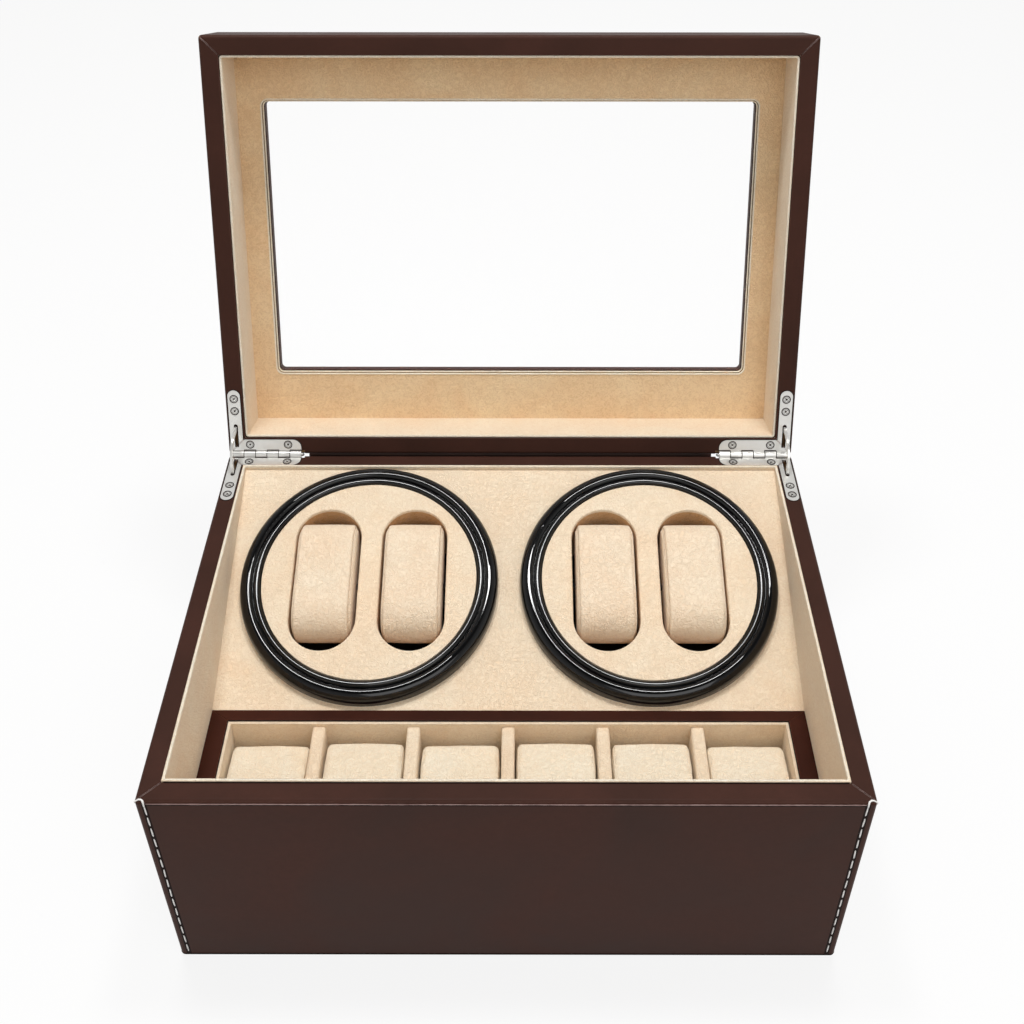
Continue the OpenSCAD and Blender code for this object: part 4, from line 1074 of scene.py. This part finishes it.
rng = random.Random(4)
steps = 240
fold = []
for k in range(steps + 1):
    x = (-1 + 2 * k / steps) * (BOX_W / 2 - FOLD_END)
    z = BASE_H - 1.55 * MM + 0.05 * MM * math.sin(k * 0.21)
    fold.append(on_shell(x, -0.1218, z))
edge_trim(
    "front_fold_edge",
    [tube(fold, [0.30 * MM * (1 + 0.25 * rng.uniform(-1, 1)) for _ in fold], 6)],
    LEATHER_EDGE,
)
shadow = strip(
    (FOLD_END - BOX_W / 2, FRONT, BASE_H - 2.45 * MM),
    (BOX_W / 2 - FOLD_END, FRONT, BASE_H - 2.45 * MM),
    (0, 0, 1),
    (0, -1, 0),
    1.1 * MM,
    0.04 * MM,
)
edge_trim("front_fold_shadow", [shadow], LEATHER_SHADE)


def mitre_lines(band, z, up, gap, radius):
    """Two fine raised cut edges along each corner's mitre of a rim."""
    parts = []
    for sx in (-1, 1):
        for sy in (-1, 1):
            outer, inner = 1.1 * MM, band - 0.4 * MM
            start = Vector((sx * (BOX_W / 2 - outer), sy * (BOX_D / 2 - outer), z))
            stop = Vector((sx * (BOX_W / 2 - inner), sy * (BOX_D / 2 - inner), z))
            way = (stop - start).normalized()
            off = way.cross(Vector((0, 0, up)))
            for s in (-1, 1):
                line = [p + off * s * gap for p in (start, (start + stop) / 2, stop)]
                parts.append(tube(line, radius, 6))
    return parts


lines = mitre_lines(RIM_W, BASE_H, 1, 0.26 * MM, 0.11 * MM)
edge_trim("base_mitre_edges", lines, LEATHER_EDGE)
lines = mitre_lines(RIM_W, LID_Z, -1, 0.24 * MM, 0.10 * MM)
edge_trim("lid_mitre_edges", lines, LEATHER_EDGE, "lid", OPENED)

# The hinge line's leatherette bead, which closes the gap behind the rims; its dark colour is
# painted shade in that gap
HINGE_BEAD_R, HINGE_BEAD_HALF = 1.0 * MM, 0.1195
line = [(x, 0.11992, 0.13221) for x in np.linspace(-HINGE_BEAD_HALF, HINGE_BEAD_HALF, 30)]
edge_trim("rear_hinge_bead", [tube(line, HINGE_BEAD_R, 12)], LEATHER_SHADE)

# The linings' turned top edges, in a paler velvet that is a painted highlight, each with a dark
# line of painted shade in the joint to the leatherette
for name, z, up, body, place in (
    ("base", BASE_H + LINING_PROUD, 1, "case", None),
    ("lid", LID_Z + LINING_SHY, -1, "lid", OPENED),
):
    for word, out, drop, radius, mat in (
        ("edge", LINING_T / 2 - 0.08 * MM, 0.55 * MM, 0.72 * MM, VELVET_HIGHLIGHT),
        ("joint", LINING_T + 0.1 * MM, (0.9 if up > 0 else 0.1) * MM, 0.36 * MM, LEATHER_SHADE),
    ):
        loop = [
            (x, y, z - up * drop)
            for x, y in round_loop(IN_W + 2 * out, IN_D + 2 * out, 0.6 * MM + out, 5)
        ]
        piece(
            f"{name}_lining_{word}",
            [tube(loop, radius, 10, closed=True)],
            mat,
            body,
            place,
        )

# The wrap's cut edge round the foot, over the felt, dark as a painted contact shadow under the box
FOOT_R, FOOT_SHY = 0.72 * MM, 0.8 * MM
foot = round_loop(BOX_W - FOOT_SHY, BOX_D - FOOT_SHY, EDGE_R, 8)
line = [(x, y, 0.75 * MM) for x, y in foot]
edge_trim("base_foot_edge_shadow", [tube(line, FOOT_R, 8, closed=True)], LEATHER_SHADE)

# Painted shade: a dark line in the joint between the tray's frame and its lining
lo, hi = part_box("tray_lining")
mouth = round_loop(hi.x - lo.x + 0.1 * MM, hi.y - lo.y + 0.1 * MM, 0.5 * MM, 3)
line = [(x, y + (lo.y + hi.y) / 2, TRAY_Z - 0.28 * MM) for x, y in mouth]
edge_trim("tray_mouth_joint_shade", [tube(line, 0.34 * MM, 8, closed=True)], LEATHER_SHADE)

# ---------- Window: the card's turned velvet edge, in two soft beads, paler as a painted highlight ---

win_w, win_d, win_y, win_r = WINDOW
for name, grow, z, radius in (
    ("window_outer_bead", CEILING_STEP + 0.05 * MM, CEILING_Z + 0.1 * MM, 0.48 * MM),
    ("window_inner_bead", CEILING_STEP - 1.0 * MM, CEILING_Z + 1.75 * MM, 0.42 * MM),
):
    loop = [
        (x, y + win_y, z)
        for x, y in round_loop(win_w + 2 * grow, win_d + 2 * grow, win_r + grow, 10)
    ]
    bead = tube(loop, radius, 10, closed=True)
    piece(name, [bead], VELVET_HIGHLIGHT, "lid", OPENED)

# ---------- Hinges: painted shade, as dark lines in the joints between the knuckles and round each plate, slot and screw ---

parts = []
for side in (-1, 1):
    for k in range(1, 6):
        x = side * (BOX_W / 2 - KNUCKLE_IN - k * KNUCKLE_L)
        loop = [
            LID_PIVOT + Vector((x, math.cos(a) * 2.15 * MM, math.sin(a) * 2.15 * MM))
            for a in np.linspace(0, 2 * math.pi, 32, endpoint=False)
        ]
        parts.append(tube(loop, 0.28 * MM, 8, closed=True))
edge_trim("knuckle_joint_shade", parts, LEATHER_SHADE)


def face_outlines(obj, place, level, up):
    """Closed outlines of a node's flat faces at one level.

    Each comes with the way off the metal at each of its points.
    """

    def key(p):
        return round(p.x * 2e5), round(p.y * 2e5)

    back = place.inverted() if place else Matrix.Identity(4)
    co = [back @ v.co for v in obj.data.vertices]
    uses, where = set(), {}
    for poly in obj.data.polygons:
        pts = [co[i] for i in poly.vertices]
        if any(abs(p.z - level) > 0.03 * MM for p in pts):
            continue
        keys = [key(p) for p in pts]
        where.update(zip(keys, pts))
        for a, b in zip(keys, keys[1:] + keys[:1]):
            if (b, a) in uses:
                uses.remove((b, a))
            else:
                uses.add((a, b))
    after = {}
    for a, b in sorted(uses):
        after.setdefault(a, []).append(b)
    loops = []
    while after:
        at = min(after)
        loop = []
        while at in after:
            loop.append(where[at])
            follow = after[at].pop()
            if not after[at]:
                del after[at]
            at = follow
        if len(loop) < 6:
            continue
        n = len(loop)
        off = []
        for k in range(n):
            way = (loop[(k + 1) % n] - loop[k - 1]).normalized()
            off.append(Vector((way.y, -way.x, 0)) * up)
        loops.append((loop, off))
    return loops


def cross_recess(centre, reach, half, up):
    """A small plus-shaped block with tapered sides, painted shade in a screw's cross recess."""
    arm = ((half, half), (reach, half * 0.8), (reach * 1.04, 0), (reach, -half * 0.8))
    plan = []
    for c, s in ((1, 0), (0, 1), (-1, 0), (0, -1)):
        plan += [(x * c + y * s, x * s - y * c) for x, y in arm]
    rows = []
    for grow, z in ((0.86, -0.45), (1.0, -0.12), (0.9, -0.10)):
        rows.append(
            [centre + Vector((x * grow, y * grow, up * z * MM)) for x, y in plan]
        )
    return grid(rows, wrap=True, caps=True)


SCREW_WIDE = 6 * MM  # a round outline narrower than this is a screw's seat
for node, body, place, level, up in (
    ("left_base_leaf", "case", None, BASE_H, 1),
    ("right_base_leaf", "case", None, BASE_H, 1),
    ("left_lid_leaf", "lid", OPENED, LID_Z, -1),
    ("right_lid_leaf", "lid", OPENED, LID_Z, -1),
):
    loops = face_outlines(NODES[node], place, level, up)
    parts = []
    for loop, off in loops:
        wide = max(p.x for p in loop) - min(p.x for p in loop)
        # Painted shade in the gap round each plate, slot and screw seat
        line = [p + o * 0.16 * MM for p, o in zip(loop, off)]
        parts.append(tube(line, 0.30 * MM, 6, closed=True))
        # Painted shade in each screw's cross recess and round its seat
        if wide < SCREW_WIDE and len(loop) > 12:
            centre = sum(loop, Vector()) / len(loop)
            parts.append(cross_recess(centre, wide * 0.25, 0.34 * MM, up))
            ring = [
                centre
                + Vector((math.cos(a), math.sin(a), 0)) * wide * 0.33
                + Vector((0, 0, -up * 0.12 * MM))
                for a in np.linspace(0, 2 * math.pi, 24, endpoint=False)
            ]
            parts.append(tube(ring, 0.17 * MM, 6, closed=True))
    edge_trim(f"{node}_joint_shadow", parts, LEATHER_SHADE, body, place)
